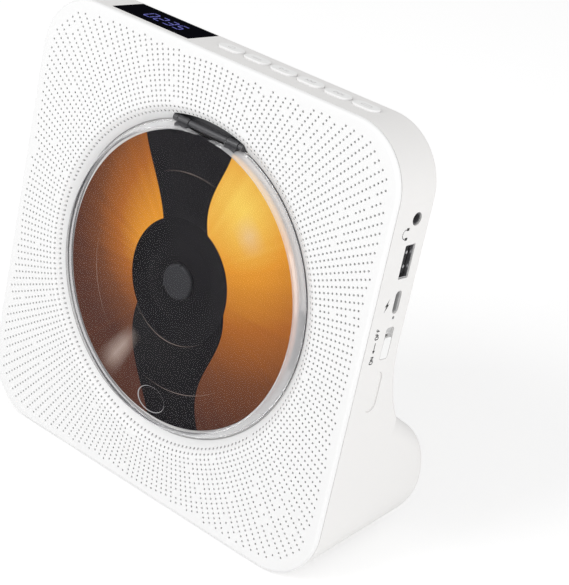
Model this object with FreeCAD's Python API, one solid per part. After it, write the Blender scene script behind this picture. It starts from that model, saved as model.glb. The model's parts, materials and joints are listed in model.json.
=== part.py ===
import FreeCAD, Part
import math
import os
from FreeCAD import Vector

# A vertical compact disc player: a square perforated front that leans back on a foot,
# with a clear round lid over the disc, keys and a display on top, and sockets on the right.
# Millimetres. While it is built, x is to the right, y is the depth behind the front face,
# and z runs up the front face from the middle of the disc. It is then leaned back on its foot.

# Case
FACE_SIZE = 186.0            # width and height of the square front
CORNER_RADIUS = 25.0         # corners of the front, seen from the front
LEAN = 9.0                   # degrees the front leans back
SLAB_DEPTH = 24.5            # front face to back face of the upper part
WALL = 2.0                   # wall of the rear housing
FRONT_PLATE = 2.0            # thickness of the front plate, which ends at the seam
FRONT_ROUND = 1.4            # rounding of the front edge
REAR_ROUND = 2.5             # rounding of the rear edge, down to where the neck ends
HEEL_ROUND = 8.0             # rounding of the foot's rear edges
NECK_END = 34.0              # depth at which the small rounding gives way to the large one
MERGE = 0.5                  # how far a boss or rib runs into the wall that it grows from
LIP_DEPTH = 3.4              # how far the front's lip reaches into the housing
LIP_WALL = 1.4
LIP_FIT = 0.15

# Foot, in the side view
NECK_TOP = 11.6              # height where the back starts to curve out, above the disc's middle
NECK_RADIUS = 62.0
FOOT_DEPTH = 67.7            # front face to the back of the foot
FOOT_RADIUS = 30.0           # rounding on top of the foot
FOOT_AXIS_DROP = 60.0        # that rounding's centre, below the disc's middle
FOOT_SLOPE = 58.0            # degrees from upright where the foot's top starts
CREASE_ROUND = 6.0

# Feet and base cover
PAD_RADIUS = 4.5
PAD_PROUD = 0.8
PAD_SUNK = 0.8
PAD_INSET = 35.0             # pads' middles, from the case's sides
PAD_FROM_FRONT = 11.5        # front pads' middles, behind the base's front edge
PAD_MARGIN = 1.0             # pads to the rounding of the foot, and to their bosses' outside
PAD_BOSS_RISE = 0.8
BASE_OPENING_INSET = 25.0    # opening's ends, from the case's sides
BASE_OPENING_DEPTH = 26.0
BASE_OPENING_FRONT = 20.0    # opening's front edge, behind the base's front edge
BASE_LEDGE = 3.0
BASE_FIT = 0.2
BASE_RING = 2.0              # ring round the opening, outside it
BASE_BOSS = 2.6
BASE_BOSS_RISE = 6.0
BASE_SCREW_RISE = 4.5
BASE_SCREW_SIDE = 0.2
BASE_SCREW_EDGE = 6.0        # base screws, from the opening's front and rear edges

# Window and lid
SLOPE_TOP_RADIUS = 69.5      # where the front face starts to slope down to the lid
THROAT_RADIUS = 64.3
THROAT_DEPTH = 4.2
RIM_WALL = 2.0
RIM_END = 5.0
LID_RADIUS = 63.6
LID_FACE_RADIUS = 61.3
LID_PROUD = 0.8              # lid's face in front of the front plate
LID_WALL = 1.4
LID_BEVEL_DEPTH = 3.8
LID_END = 4.8
DIMPLE = (7.5, 5.3)          # half width and half height of the thumb dimple
DIMPLE_DROP = 51.5
DIMPLE_DEPTH = 0.5
BEVEL_SHIFT = 0.2            # inner bevel's start, as a share of the bevel's width

# Lid hinge
PIN_RADIUS = 0.8
PIN_DEPTH = 3.2
PIN_HEIGHT = 62.4
PIN_FIT = 0.06
BARREL_RADIUS = 1.6
ARM_X = (10.2, 15.8)
LID_TOP_CUT = 60.6
POCKET_HALF = 18.6
POCKET_RADIUS = 66.6
HINGE_GAP = 0.35
EAR_WALL = 0.65
PIN_SPAN = 17.6
ARM_OVERLAP = 0.2
POCKET_BELOW = 2.0           # pocket's lower end, below the lid's flat top edge
BRACKET_LIFT = 0.6           # bracket above the lid's flat top edge
BRACKET_FIT = 0.3
BRACKET_FLANGE = (3.0, 6.0, 2.0)    # beyond the block at its sides, below it and above it
BRACKET_THICKNESS = 1.6

# Disc and hub
DISC_RADIUS = 60.0
DISC_THICKNESS = 1.2
DISC_FRONT = 2.4
DISC_HOLE = 7.5
STACK_RING = (17.0, 0.5, 0.2)    # radius, half width and rise of the ring on its back
HUB_RADIUS = 7.4
HUB_FRONT = 1.0
HUB_NOSE = 1.0               # length of the hub's tapered nose
HUB_NOSE_TOP = 0.3
HUB_BOSS = (3.0, 2.0)        # radius and length behind the turntable
TABLE_RADIUS = 14.5
TABLE_THICKNESS = 1.5
BALL_RADIUS = 0.9
BALL_ORBIT = 6.9
BALL_DEPTH = 1.7
BALL_COUNT = 3
BALL_FIT = 0.02
SHAFT_RADIUS = 1.0
SHAFT_FIT = 0.05
SHAFT_SHORT = 2.0            # spindle's end, in from the motor's back

# Deck behind the disc
DECK_RADIUS = 66.2
DECK_FRONT = 5.1
DECK_THICKNESS = 2.0
DECK_HOLE = 16.0
DECK_SLOT = (12.5, 62.5, 12.5)    # start, end and half height of the pickup's window
EAR_REACH = 6.3              # ears' middles, beyond the deck's edge
EAR_ANGLE = 20.0
EAR_RADIUS = 3.6
EAR_BRIDGE = 4.0             # how far in the ears' bridges start
DECK_BOSS = 2.8
DECK_SLOT_ROUND = 4.0
BOSS_CLEARANCE = 0.3

# Disc mechanism
CHASSIS_FRONT = 9.2
CHASSIS_THICKNESS = 1.0
CHASSIS_LEFT = -30.0
CHASSIS_BOTTOM = -47.5
CHASSIS_TOP = 34.5
CHASSIS_BEYOND_ROD = 1.5
CHASSIS_SLOT = (13.0, 70.0, 14.0)
CHASSIS_SLOT_ROUND = 3.0
CHASSIS_CORNER = 5.0
GROMMET_SPOTS = ((-24.0, 26.0), (50.0, 29.0), (-24.0, -40.0), (26.0, -42.0))
GROMMET_RADIUS = 4.0
GROMMET_HALF = 1.1
GROMMET_NECK = 2.9
GROMMET_BORE = 1.5
GROMMET_SEAT = 3.5           # radius of the posts that the grommets sit on
SPINDLE_MOTOR_RADIUS = 12.0
SPINDLE_MOTOR_LENGTH = 9.0
SPINDLE_MOTOR_BOSS = (3.4, 0.4)    # radius, and length in front of the chassis
SPINDLE_MOTOR_CHAMFER = 1.0
ROD_RADIUS = 1.5
ROD_HEIGHT = 17.5
ROD_DEPTH = 13.0
ROD_SPAN = (8.0, 73.0)
ROD_FIT = 0.05
ROD_BLOCK = (1.2, 2.6)       # half thickness and half height of the rods' blocks
PICKUP_HALF = 11.0
PICKUP_BODY = (10.6, 15.6)
PICKUP_HEIGHT = 21.0
PICKUP_NECK = 8.5
PICKUP_NECK_INSET = 1.5
PICKUP_NECK_ROUND = 2.0
LENS_SEAT_WALL = 0.9
RACK_BEYOND = 3.0
LENS_START = 24.0            # lens to spindle at the first track
SLED_TRAVEL = 34.0
LENS_RADIUS = 3.0
LENS_FRONT = 5.7
LENS_PROFILE = ((0.0, 0.0), (1.4, 0.1), (2.2, 0.35), (LENS_RADIUS, 0.8), (LENS_RADIUS, 1.6),
                (0.0, 2.0))         # radius and depth behind the lens's front

# Feed gears
MODULE = 0.5
ADDENDUM = 0.85              # in modules
DEDENDUM = 1.15              # in modules
ROOT_WIDTH = 1.55            # tooth at its root and tip, as shares of its width at the pitch circle
TIP_WIDTH = 0.42
RACK_ROOT_WIDTH = 1.4
RACK_TIP_WIDTH = 0.5
RACK_OVERLAP = 0.3
PINION_TEETH = 12
WHEEL_TEETH = 36
BACKLASH = 0.14
RACK_DROP = 24.5             # pitch line of the rack below the spindle
RACK_DEPTH = (11.0, 13.0)
FEED_X = 40.0
FEED_GEAR_DEPTH = (10.6, 15.8, 16.0, 17.2)
STUD_RADIUS = 0.8
STUD_BEYOND = 0.8
FEED_MOTOR_RADIUS = 8.0
FEED_MOTOR_LENGTH = 5.4
FEED_MOTOR_BOSS = 1.5
FEED_SHAFT_RADIUS = 0.75
FEED_SHAFT_STARTS = (0.6, 1.0)    # bore and shaft, behind the chassis

# Keys and display on top
KEY_COUNT = 6
KEY_SIZE = (11.6, 6.5)
KEY_PITCH = 13.4
KEY_ROW_GAP = 9.1            # display to the first key
ROW_DEPTH = 13.0             # middle of the key row and display, behind the front face
KEY_PROUD = 0.8
KEY_FIT = 0.15
KEY_FLANGE = 0.7
KEY_FLANGE_DEPTH = 1.0
KEY_ROUND = 0.3
KEY_TRAVEL = 0.6
KEY_STEM = 1.5
SWITCH_SIZE = (6.0, 6.0, 2.2)
SWITCH_PLUNGER = (1.7, 0.5)  # radius and height
TOP_BOARD_DROP = 10.5        # top board's lower face below the top of the case
BOARD = 1.6
TOP_BOARD_HALF = 8.0
TOP_BOARD_BESIDE = 3.5       # beyond its end bosses
TOP_BOSS_BESIDE = 3.4        # end bosses, from the display's and the last key's ends
BOARD_BOSS = 2.4
DISPLAY_SIZE = (42.0, 17.6)
DISPLAY_INSET = 30.8         # display's end, from the case's side
DISPLAY_GLASS = 1.2
DISPLAY_LEDGE = 1.2
DISPLAY_FIT = 0.1
DISPLAY_MODULE_GAP = (0.6, 0.3)  # beside it and above it

# Sockets and switch on the right, each so far below the top of the case
PORT_DEPTH = 14.8
JACK_DROP = 31.5
JACK_HOLE = 2.6
JACK_NOSE = 2.4
JACK_BORE = 1.8
JACK_LENGTH = 13.0
JACK_HALF = 3.5
JACK_SUNK = 0.6              # nose behind the case's side
JACK_END = 1.0               # wall at the blind end of the bore
USB_DROP = 48.2
USB_OUTER = (13.2, 5.5)
USB_LENGTH = 14.5
USB_ROUNDS = (0.6, 0.5)      # corners of its opening and of its shell
TONGUE_BASE = 3.0
TONGUE_SUNK = 2.0
TONGUE_DEPTHS = (0.2, 2.0)   # front and back of the tongue, behind the socket's middle
TONGUE_INSET = 0.7
USB_C_DROP = 64.4
USB_C_OUTER = (8.9, 3.2)
USB_C_LENGTH = 8.2
USB_C_END = 1.4
USB_C_FOOT = (5.0, 1.0, 3.5)  # length, start behind the middle and half height
USB_C_BLADE = (1.4, 0.35, 3.2)    # behind the case's side, half thickness and half height
SHELL_WALL = 0.35
PORT_FIT = 0.2
PORT_SUNK = 0.5              # shells behind the case's side
PORT_BODY_FRONT = 2.9
PORT_BODY_GAP = 0.3
LED_DROP = 70.6
LED_RADIUS = 0.6
LED_PIPE = (6.0, 8.0, 5.0, 1.0)    # pipe's end, block's ends and half width, behind the side
SLIDER_DROP = 81.1
SLIDER_POCKET = (13.2, 4.8)
SLIDER_DEPTH = 1.2
SLIDER_TRAVEL = 4.0
SLIDER_FIT = 0.2
SLIDER_STEM = (2.4, 1.5)
SLIDER_STEM_REACH = 4.2
SLIDER_LIFT = 0.1            # cap off the floor of its recess
SLIDER_SUNK = 0.05
SLIDER_ROUNDS = (1.2, 1.0)   # corners of the recess and of the cap
SWITCH_BODY = (6.0, 8.0)     # depth and half height
SWITCH_SLOT = (2.4, 0.2, 0.3)    # depth, and gaps beside and at the ends of the stem
BLANK_DROP = 101.0
BLANK_SIZE = (17.0, 7.0)
BLANK_DEPTH = 0.6
BLANK_FORWARD = 1.2          # its middle in front of the sockets' middle
SIDE_BOARD_FRONT = 17.7
SIDE_BOARD_HALF = (8.0, 36.0)
SIDE_BOARD_GAP = 0.4
SIDE_BOARD_DROP = 60.0
SIDE_SCREW_EDGE = 3.0
SIDE_SCREW_STEPS = (-11.0, 28.0)
CHIPS = ((0.0, -3.0, 10.0, 10.0, 1.4), (2.5, -20.0, 6.0, 8.0, 1.2), (0.0, 12.5, 8.0, 5.0, 1.2))
CAPACITORS = ((-5.0, -30.0), (-5.0, -22.0), (-5.0, 20.0))
CAPACITOR_RADIUS = 2.5
CAPACITOR_LENGTH = 7.0

# Speakers, battery and fasteners
SPEAKER_INSET = 25.0         # speakers' middles, from the case's sides and bottom
SPEAKER_RADIUS = 19.0
SPEAKER_SCREW_OUT = 2.2
SPEAKER_FLANGE = 1.2         # thickness of the basket's flange
SPEAKER_OPENING = 16.6
BASKET_BACK = (11.8, 5.0)    # outer radius and hole of its back
BASKET_DEPTH = 9.7
BASKET_WALL = 1.0
CONE_RADIUS = 14.9
CONE_FRONT = 0.7
CONE_WALL = 0.4
COIL_RADIUS = 4.8
COIL_DEPTHS = (6.1, 10.3)    # cone's neck and the coil's end
CAP_DEPTH = 4.7
SURROUND_RISE = 0.5
MAGNET_RADIUS = 11.0
MAGNET_LENGTH = 5.15
MAGNET_CHAMFER = 0.6
CLOTH = 0.4
CLOTH_INSET = 0.5            # cloth's edge, in from the front's lip
CLOTH_FROM_SLOPE = 3.0
BATTERY_RADIUS = 9.2
BATTERY_LENGTH = 66.0
BATTERY_BUTTON = (2.8, 1.2)  # radius and height of its end
BATTERY_LIFT = 2.0           # cell above the base cover
BATTERY_BEHIND = 33.0        # battery's axis behind the base's front edge
CRADLE_X = 22.0
CRADLE_SIZE = (1.5, 8.0)     # half thickness and half length
CRADLE_TOP = 3.0             # below the cell's axis
CASE_SCREW_INSET = 13.0      # upper screws, from the case's sides and top
CASE_SCREW_ANGLE = 34.7      # lower screws, round the deck
CASE_SCREW_GAP = 6.0
CASE_BOSS = 3.2
CASE_SCREW_LENGTH = 7.0
SCREW_SHANK = 1.0
SCREW_HEAD = 2.4
HEAD_THICKNESS = 1.1
SCREW_CLEARANCE = 0.2
PLATE_BITE = 0.5             # screws' tips in the front plate
END_GAP = 0.5                # hole beyond a screw's tip
SEAT = 0.05                  # gap left where one solid sits on another
RUNNING_GAP = 0.4            # gap between pieces that pass each other

HALF = FACE_SIZE / 2
BASE_DROP = HALF * math.cos(math.radians(LEAN))
BASE_FRONT = -HALF * math.sin(math.radians(LEAN))
INNER_BACK = SLAB_DEPTH - WALL
DECK_BACK = DECK_FRONT + DECK_THICKNESS
CHASSIS_BACK = CHASSIS_FRONT + CHASSIS_THICKNESS
DISC_BACK = DISC_FRONT + DISC_THICKNESS
CEILING = HALF - WALL
PINION_RADIUS = MODULE * PINION_TEETH / 2
WHEEL_RADIUS = MODULE * WHEEL_TEETH / 2
FEED_HEIGHT = -RACK_DROP - PINION_RADIUS
TOP_BOARD_LOW = HALF - TOP_BOARD_DROP
TOP_BOARD_HIGH = TOP_BOARD_LOW + BOARD
PAD_X = HALF - PAD_INSET
PAD_FROM_REAR = HEEL_ROUND + PAD_MARGIN + PAD_RADIUS
DISPLAY_X = -HALF + DISPLAY_INSET + DISPLAY_SIZE[0] / 2
KEY_FIRST = DISPLAY_X + DISPLAY_SIZE[0] / 2 + KEY_ROW_GAP + KEY_SIZE[0] / 2
JACK_HEIGHT = HALF - JACK_DROP
USB_HEIGHT = HALF - USB_DROP
USB_C_HEIGHT = HALF - USB_C_DROP
LED_HEIGHT = HALF - LED_DROP
SLIDER_HEIGHT = HALF - SLIDER_DROP
BLANK_HEIGHT = HALF - BLANK_DROP
SIDE_BOARD_X = HALF - WALL - SIDE_BOARD_GAP - SIDE_BOARD_HALF[0]
SIDE_BOARD_HEIGHT = HALF - SIDE_BOARD_DROP
SPEAKER_SPOT = (HALF - SPEAKER_INSET, SPEAKER_INSET - HALF)
EAR_ORBIT = DECK_RADIUS + EAR_REACH
CASE_SCREW_ORBIT = DECK_RADIUS + CASE_BOSS + CASE_SCREW_GAP
CASE_SCREW_SPOTS = ((HALF - CASE_SCREW_INSET, HALF - CASE_SCREW_INSET),
                    (CASE_SCREW_ORBIT * math.cos(math.radians(CASE_SCREW_ANGLE)),
                     CASE_SCREW_ORBIT * math.sin(math.radians(CASE_SCREW_ANGLE))))


def box(x0, x1, y0, y1, z0, z1):
    return Part.makeBox(x1 - x0, y1 - y0, z1 - z0, Vector(x0, y0, z0))


def rod_x(radius, y, z, x0, x1):
    return Part.makeCylinder(radius, x1 - x0, Vector(x0, y, z), Vector(1, 0, 0))


def rod_y(radius, x, z, y0, y1):
    return Part.makeCylinder(radius, y1 - y0, Vector(x, y0, z), Vector(0, 1, 0))


def rod_z(radius, x, y, z0, z1):
    return Part.makeCylinder(radius, z1 - z0, Vector(x, y, z0))


def joined(shapes):
    whole = shapes[0].multiFuse(shapes[1:]) if len(shapes) > 1 else shapes[0]
    return whole.removeSplitter()


def turned(profile, x=0.0, z=0.0):
    # Turns a closed outline of (radius, depth) points about the depth axis at x, z
    points = [Vector(x + radius, depth, z) for radius, depth in profile]
    face = Part.Face(Part.makePolygon(points + [points[0]]))
    return face.revolve(Vector(x, 0, z), Vector(0, 1, 0), 360)


def stadium(length, width, along, across, low, high):
    # A racetrack prism: long axis and thickness axis are unit vectors, placed at the origin
    radius = width / 2
    reach = length / 2 - radius
    centre = across * low
    rise = across * (high - low)
    side = along.cross(across)
    corners = [centre + along * (sx * reach) + side * (sy * radius)
               for sx, sy in ((-1, -1), (1, -1), (1, 1), (-1, 1), (-1, -1))]
    bar = Part.Face(Part.makePolygon(corners)).extrude(rise)
    ends = [Part.makeCylinder(radius, high - low, centre + along * (sign * reach), across)
            for sign in (-1, 1)]
    return joined([bar] + ends)


def moved(shape, x, y, z):
    copy = shape.copy()
    copy.translate(Vector(x, y, z))
    return copy


def from_floor(shape):
    # The floor's own frame has y along the floor and z straight up
    copy = shape.copy()
    copy.rotate(Vector(0, 0, 0), Vector(1, 0, 0), LEAN)
    return copy


def rear_skin(shape):
    return [face for face in shape.Faces
            if abs(face.normalAt(*middle(face)).x) < 0.01 and face.normalAt(*middle(face)).y > 0.3]


def middle(face):
    u0, u1, v0, v1 = face.ParameterRange
    return (u0 + u1) / 2, (v0 + v1) / 2


def boundary(faces):
    edges = [edge for face in faces for edge in face.Edges]
    return [edge for edge in edges if sum(edge.isSame(other) for other in edges) == 1]


def side_outline(inset, front):
    # Side view of the slab, the neck and the foot, drawn in from the outside by inset
    back = SLAB_DEPTH - inset
    slope = math.radians(FOOT_SLOPE)
    neck = Vector(0, SLAB_DEPTH + NECK_RADIUS, NECK_TOP)
    neck_radius = NECK_RADIUS + inset
    heel = Vector(0, FOOT_DEPTH - FOOT_RADIUS, -FOOT_AXIS_DROP)
    heel_radius = FOOT_RADIUS - inset
    outward = Vector(0, math.cos(slope), math.sin(slope))
    uphill = Vector(0, -math.sin(slope), math.cos(slope))
    start = heel + outward * heel_radius
    offset = start - neck
    half_b = offset.dot(uphill)
    run = -half_b + math.sqrt(half_b ** 2 - offset.dot(offset) + neck_radius ** 2)
    crease = start + uphill * run
    angle = math.atan2(neck.z - crease.z, neck.y - crease.y) / 2
    neck_mid = neck + Vector(0, -math.cos(angle), -math.sin(angle)) * neck_radius
    heel_mid = heel + Vector(0, math.cos(slope / 2), math.sin(slope / 2)) * heel_radius
    reach = FACE_SIZE
    points = [Vector(0, front, -reach), Vector(0, front, reach), Vector(0, back, reach),
              Vector(0, back, NECK_TOP)]
    edges = [Part.LineSegment(a, b) for a, b in zip(points, points[1:])]
    edges.append(Part.Arc(points[-1], neck_mid, crease))
    edges.append(Part.LineSegment(crease, start))
    heel_end = heel + Vector(0, heel_radius, 0)
    edges.append(Part.Arc(start, heel_mid, heel_end))
    toe = Vector(0, heel_end.y, -reach)
    edges.append(Part.LineSegment(heel_end, toe))
    edges.append(Part.LineSegment(toe, points[0]))
    return Part.Face(Part.Wire([edge.toShape() for edge in edges]))


def rounded_prism(half_width, low, high, y0, y1, radius, top):
    prism = box(-half_width, half_width, y0, y1, low, high)
    level = high if top else low
    edges = [edge for edge in prism.Edges
             if abs(edge.CenterOfMass.z - level) < 1e-6 and abs(edge.CenterOfMass.x) > half_width - 1e-6]
    return prism.makeFillet(radius, edges)


def envelope(inset, front):
    # The case's outer form, or the form inside it: the side view, the front's rounded
    # top corners and the rounded bottom corners that follow the floor back
    reach = FACE_SIZE
    half = HALF - inset
    radius = CORNER_RADIUS - inset
    side = side_outline(inset, front).extrude(Vector(FACE_SIZE, 0, 0))
    side.translate(Vector(-HALF, 0, 0))
    upper = rounded_prism(half, -reach, half, -reach, reach, radius, True)
    lower = from_floor(rounded_prism(half, inset - BASE_DROP, reach, -reach, reach, radius, False))
    return side.common(upper).common(lower)


def rounded_body(inset, front, radius):
    # The case with its neck's crease softened, and its rear edges rounded by a radius
    body = envelope(inset, front)
    creases = [edge for edge in body.Edges
               if abs(edge.CenterOfMass.x) < 1e-3 and edge.CenterOfMass.y > SLAB_DEPTH + MERGE
               and -FOOT_AXIS_DROP / 2 < edge.CenterOfMass.z < NECK_TOP - MERGE
               and abs(edge.tangentAt(edge.FirstParameter).x) > 0.99]
    lowest = min(edge.CenterOfMass.z for edge in creases)
    creases = [edge for edge in creases if edge.CenterOfMass.z < lowest + MERGE]
    body = body.makeFillet(CREASE_ROUND + inset, creases)
    return body.makeFillet(radius - inset, boundary(rear_skin(body)))


def outer_case():
    neck = slice_between(rounded_body(0.0, 0.0, REAR_ROUND), 0.0, NECK_END)
    return joined([rounded_body(0.0, 0.0, HEEL_ROUND), neck])


def hollow_case():
    # The room inside the walls
    neck = slice_between(envelope(WALL, -1), -1, NECK_END - WALL)
    return joined([rounded_body(WALL, -1, HEEL_ROUND), neck])


def slice_between(shape, y0, y1):
    return shape.common(box(-FACE_SIZE, FACE_SIZE, y0, y1, -FACE_SIZE, FACE_SIZE))


def mirrored(spots):
    return [(sign * x, z) for x, z in spots for sign in (-1, 1)]


def ear_angles():
    return [math.radians(turn) for turn in (EAR_ANGLE, 180 - EAR_ANGLE, 180 + EAR_ANGLE, -EAR_ANGLE)]


def ear_spots():
    return [(EAR_ORBIT * math.cos(angle), EAR_ORBIT * math.sin(angle)) for angle in ear_angles()]


def speaker_spots():
    return mirrored([SPEAKER_SPOT])


def speaker_screw_spots():
    reach = (SPEAKER_RADIUS + SPEAKER_SCREW_OUT) * math.sqrt(0.5)
    spots = []
    for x, z in speaker_spots():
        inward = -1 if x > 0 else 1
        spots.append((x - inward * reach, z + reach))
        spots.append((x + inward * reach, z - reach))
    return spots


def hinge_pocket(y0, y1):
    block = box(-POCKET_HALF, POCKET_HALF, y0, y1, LID_TOP_CUT - POCKET_BELOW, HALF)
    return block.common(rod_y(POCKET_RADIUS, 0, 0, y0, y1))


def front_shell(case):
    plate = slice_between(case, 0, FRONT_PLATE)
    rim_edges = [edge for edge in plate.Edges if abs(edge.BoundBox.YMax) < 1e-4]
    plate = plate.makeFillet(FRONT_ROUND, rim_edges)
    slope = (THROAT_DEPTH, SLOPE_TOP_RADIUS - THROAT_RADIUS)
    behind = THROAT_RADIUS + RIM_WALL
    funnel = turned([(SLOPE_TOP_RADIUS, 0), (THROAT_RADIUS, THROAT_DEPTH), (THROAT_RADIUS, RIM_END),
                     (behind, RIM_END), (behind + slope[1], FRONT_PLATE), (behind + slope[1], 0)])
    plate = plate.cut(rod_y(SLOPE_TOP_RADIUS, 0, 0, -1, FRONT_PLATE + 1))
    outer = slice_between(envelope(WALL + LIP_FIT, -1), FRONT_PLATE - MERGE, FRONT_PLATE + LIP_DEPTH)
    inner = envelope(WALL + LIP_FIT + LIP_WALL, -1)
    parts = [plate, funnel, outer.cut(inner)]
    for x, z in mirrored(CASE_SCREW_SPOTS):
        parts.append(rod_y(CASE_BOSS, x, z, FRONT_PLATE - MERGE, INNER_BACK - SEAT))
    for x, z in ear_spots():
        parts.append(rod_y(DECK_BOSS, x, z, FRONT_PLATE - MERGE, DECK_FRONT - SEAT))
    for x, z in speaker_screw_spots():
        parts.append(rod_y(DECK_BOSS, x, z, FRONT_PLATE - MERGE, FRONT_PLATE + CLOTH + SEAT))
    shell = joined(parts)
    for x, z in mirrored(CASE_SCREW_SPOTS):
        shell = shell.cut(rod_y(SCREW_SHANK, x, z, INNER_BACK - CASE_SCREW_LENGTH - END_GAP, INNER_BACK))
    for x, z in ear_spots() + speaker_screw_spots():
        shell = shell.cut(rod_y(SCREW_SHANK, x, z, FRONT_PLATE - PLATE_BITE - END_GAP, DECK_FRONT))
    return shell.cut(hinge_pocket(-1, RIM_END + 1))


def grille_cloth():
    edge_inset = WALL + LIP_FIT + LIP_WALL + CLOTH_INSET
    sheet = slice_between(envelope(edge_inset, -1), FRONT_PLATE, FRONT_PLATE + CLOTH)
    sheet = sheet.cut(rod_y(SLOPE_TOP_RADIUS + CLOTH_FROM_SLOPE, 0, 0, 0, DECK_FRONT))
    for x, z in mirrored(CASE_SCREW_SPOTS):
        sheet = sheet.cut(rod_y(CASE_BOSS + BOSS_CLEARANCE, x, z, 0, DECK_FRONT))
    for x, z in ear_spots() + speaker_screw_spots():
        sheet = sheet.cut(rod_y(DECK_BOSS + BOSS_CLEARANCE, x, z, 0, DECK_FRONT))
    return sheet


def key_places():
    return [KEY_FIRST + KEY_PITCH * number for number in range(KEY_COUNT)]


def key_prism(grow, low, high):
    size = (KEY_SIZE[0] + 2 * grow, KEY_SIZE[1] + 2 * grow)
    return stadium(size[0], size[1], Vector(1, 0, 0), Vector(0, 0, 1), low, high)


def port_prism(size, grow, x0, x1, height, radius=0.0):
    half_z = size[0] / 2 + grow
    half_y = size[1] / 2 + grow
    prism = box(x0, x1, PORT_DEPTH - half_y, PORT_DEPTH + half_y, height - half_z, height + half_z)
    if radius:
        edges = [edge for edge in prism.Edges if abs(edge.tangentAt(edge.FirstParameter).x) > 0.9]
        prism = prism.makeFillet(radius, edges)
    return prism


def side_stadium(size, grow, x0, x1, depth, height):
    bar = stadium(size[0] + 2 * grow, size[1] + 2 * grow, Vector(0, 0, 1), Vector(1, 0, 0), x0, x1)
    return moved(bar, 0, depth, height)


def top_boss_places():
    display_left = DISPLAY_X - DISPLAY_SIZE[0] / 2
    display_right = DISPLAY_X + DISPLAY_SIZE[0] / 2
    keys_left = KEY_FIRST - KEY_SIZE[0] / 2
    keys_right = key_places()[-1] + KEY_SIZE[0] / 2
    return display_left - TOP_BOSS_BESIDE, (display_right + keys_left) / 2, keys_right + TOP_BOSS_BESIDE


def side_boss_spots():
    x = SIDE_BOARD_X - SIDE_BOARD_HALF[0] + SIDE_SCREW_EDGE
    return mirrored([(x, SIDE_BOARD_HEIGHT + step) for step in SIDE_SCREW_STEPS])


def base_frame():
    # Front and rear edges of the base along the floor, and the floor's height
    back_z = -HALF + FOOT_DEPTH * math.tan(math.radians(LEAN))
    rear = FOOT_DEPTH * math.cos(math.radians(LEAN)) + back_z * math.sin(math.radians(LEAN))
    return BASE_FRONT, rear, -BASE_DROP


def base_plan(grow, z0, z1):
    front, _, floor = base_frame()
    half_x = HALF - BASE_OPENING_INSET + grow
    start = front + BASE_OPENING_FRONT
    return box(-half_x, half_x, start - grow, start + BASE_OPENING_DEPTH + grow, floor + z0, floor + z1)


def base_screw_spots():
    front, _, _ = base_frame()
    middle_y = front + BASE_OPENING_FRONT + BASE_OPENING_DEPTH / 2
    reach = HALF - BASE_OPENING_INSET - BASE_LEDGE + BASE_SCREW_SIDE
    half_run = BASE_OPENING_DEPTH / 2 - BASE_SCREW_EDGE
    return [(side * reach, middle_y + step * half_run) for side in (-1, 1) for step in (-1, 1)]


def pad_spots():
    front, rear, _ = base_frame()
    return [(side * PAD_X, y) for side in (-1, 1) for y in (front + PAD_FROM_FRONT, rear - PAD_FROM_REAR)]


def rear_housing(case):
    shell = case.cut(hollow_case())
    shell = slice_between(shell, FRONT_PLATE + SEAT, FACE_SIZE)
    bosses = []
    for x in top_boss_places():
        bosses.append(rod_z(BOARD_BOSS, x, ROW_DEPTH, TOP_BOARD_HIGH + SEAT, CEILING + MERGE))
    for x, z in side_boss_spots():
        bosses.append(rod_y(BOARD_BOSS, x, z, SIDE_BOARD_FRONT + BOARD + SEAT, INNER_BACK + MERGE))
    ring = base_plan(BASE_RING, WALL - MERGE, 2 * WALL).cut(base_plan(-BASE_LEDGE, 0, 3 * WALL))
    bosses.append(from_floor(ring))
    floor = base_frame()[2]
    for x, y in base_screw_spots():
        bosses.append(from_floor(rod_z(BASE_BOSS, x, y, floor + WALL, floor + WALL + BASE_BOSS_RISE)))
    for x, y in pad_spots():
        low = floor + WALL - MERGE
        high = floor + WALL + PAD_BOSS_RISE
        bosses.append(from_floor(rod_z(PAD_RADIUS + PAD_MARGIN, x, y, low, high)))
    shell = joined([shell] + bosses)
    cuts = [from_floor(base_plan(0.0, -1, WALL))]
    for x, y in base_screw_spots():
        cuts.append(from_floor(rod_z(SCREW_SHANK, x, y, floor, floor + WALL + BASE_SCREW_RISE + END_GAP)))
    for x, y in pad_spots():
        cuts.append(from_floor(rod_z(PAD_RADIUS, x, y, floor - 1, floor + PAD_SUNK)))
    for x in top_boss_places():
        cuts.append(rod_z(SCREW_SHANK, x, ROW_DEPTH, TOP_BOARD_HIGH - 1, CEILING - END_GAP))
    for x, z in side_boss_spots():
        cuts.append(rod_y(SCREW_SHANK, x, z, SIDE_BOARD_FRONT, INNER_BACK))
    for x, z in mirrored(CASE_SCREW_SPOTS):
        cuts.append(rod_y(SCREW_SHANK + SCREW_CLEARANCE, x, z, INNER_BACK - 1, SLAB_DEPTH + 1))
        cuts.append(rod_y(SCREW_HEAD + SCREW_CLEARANCE, x, z, SLAB_DEPTH - HEAD_THICKNESS, SLAB_DEPTH + 1))
    for x in key_places():
        cuts.append(moved(key_prism(KEY_FIT, CEILING - 1, HALF + 1), x, ROW_DEPTH, 0))
    cuts += display_cuts() + socket_cuts()
    for tool in cuts:
        shell = shell.cut(tool)
    return shell


def display_cuts():
    half_x = DISPLAY_SIZE[0] / 2
    half_y = DISPLAY_SIZE[1] / 2
    cuts = []
    steps = ((DISPLAY_FIT, HALF - DISPLAY_GLASS, HALF + 1), (-DISPLAY_LEDGE, CEILING - 1, HALF))
    for grow, low, high in steps:
        cuts.append(box(DISPLAY_X - half_x - grow, DISPLAY_X + half_x + grow,
                        ROW_DEPTH - half_y - grow, ROW_DEPTH + half_y + grow, low, high))
    return cuts


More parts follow.
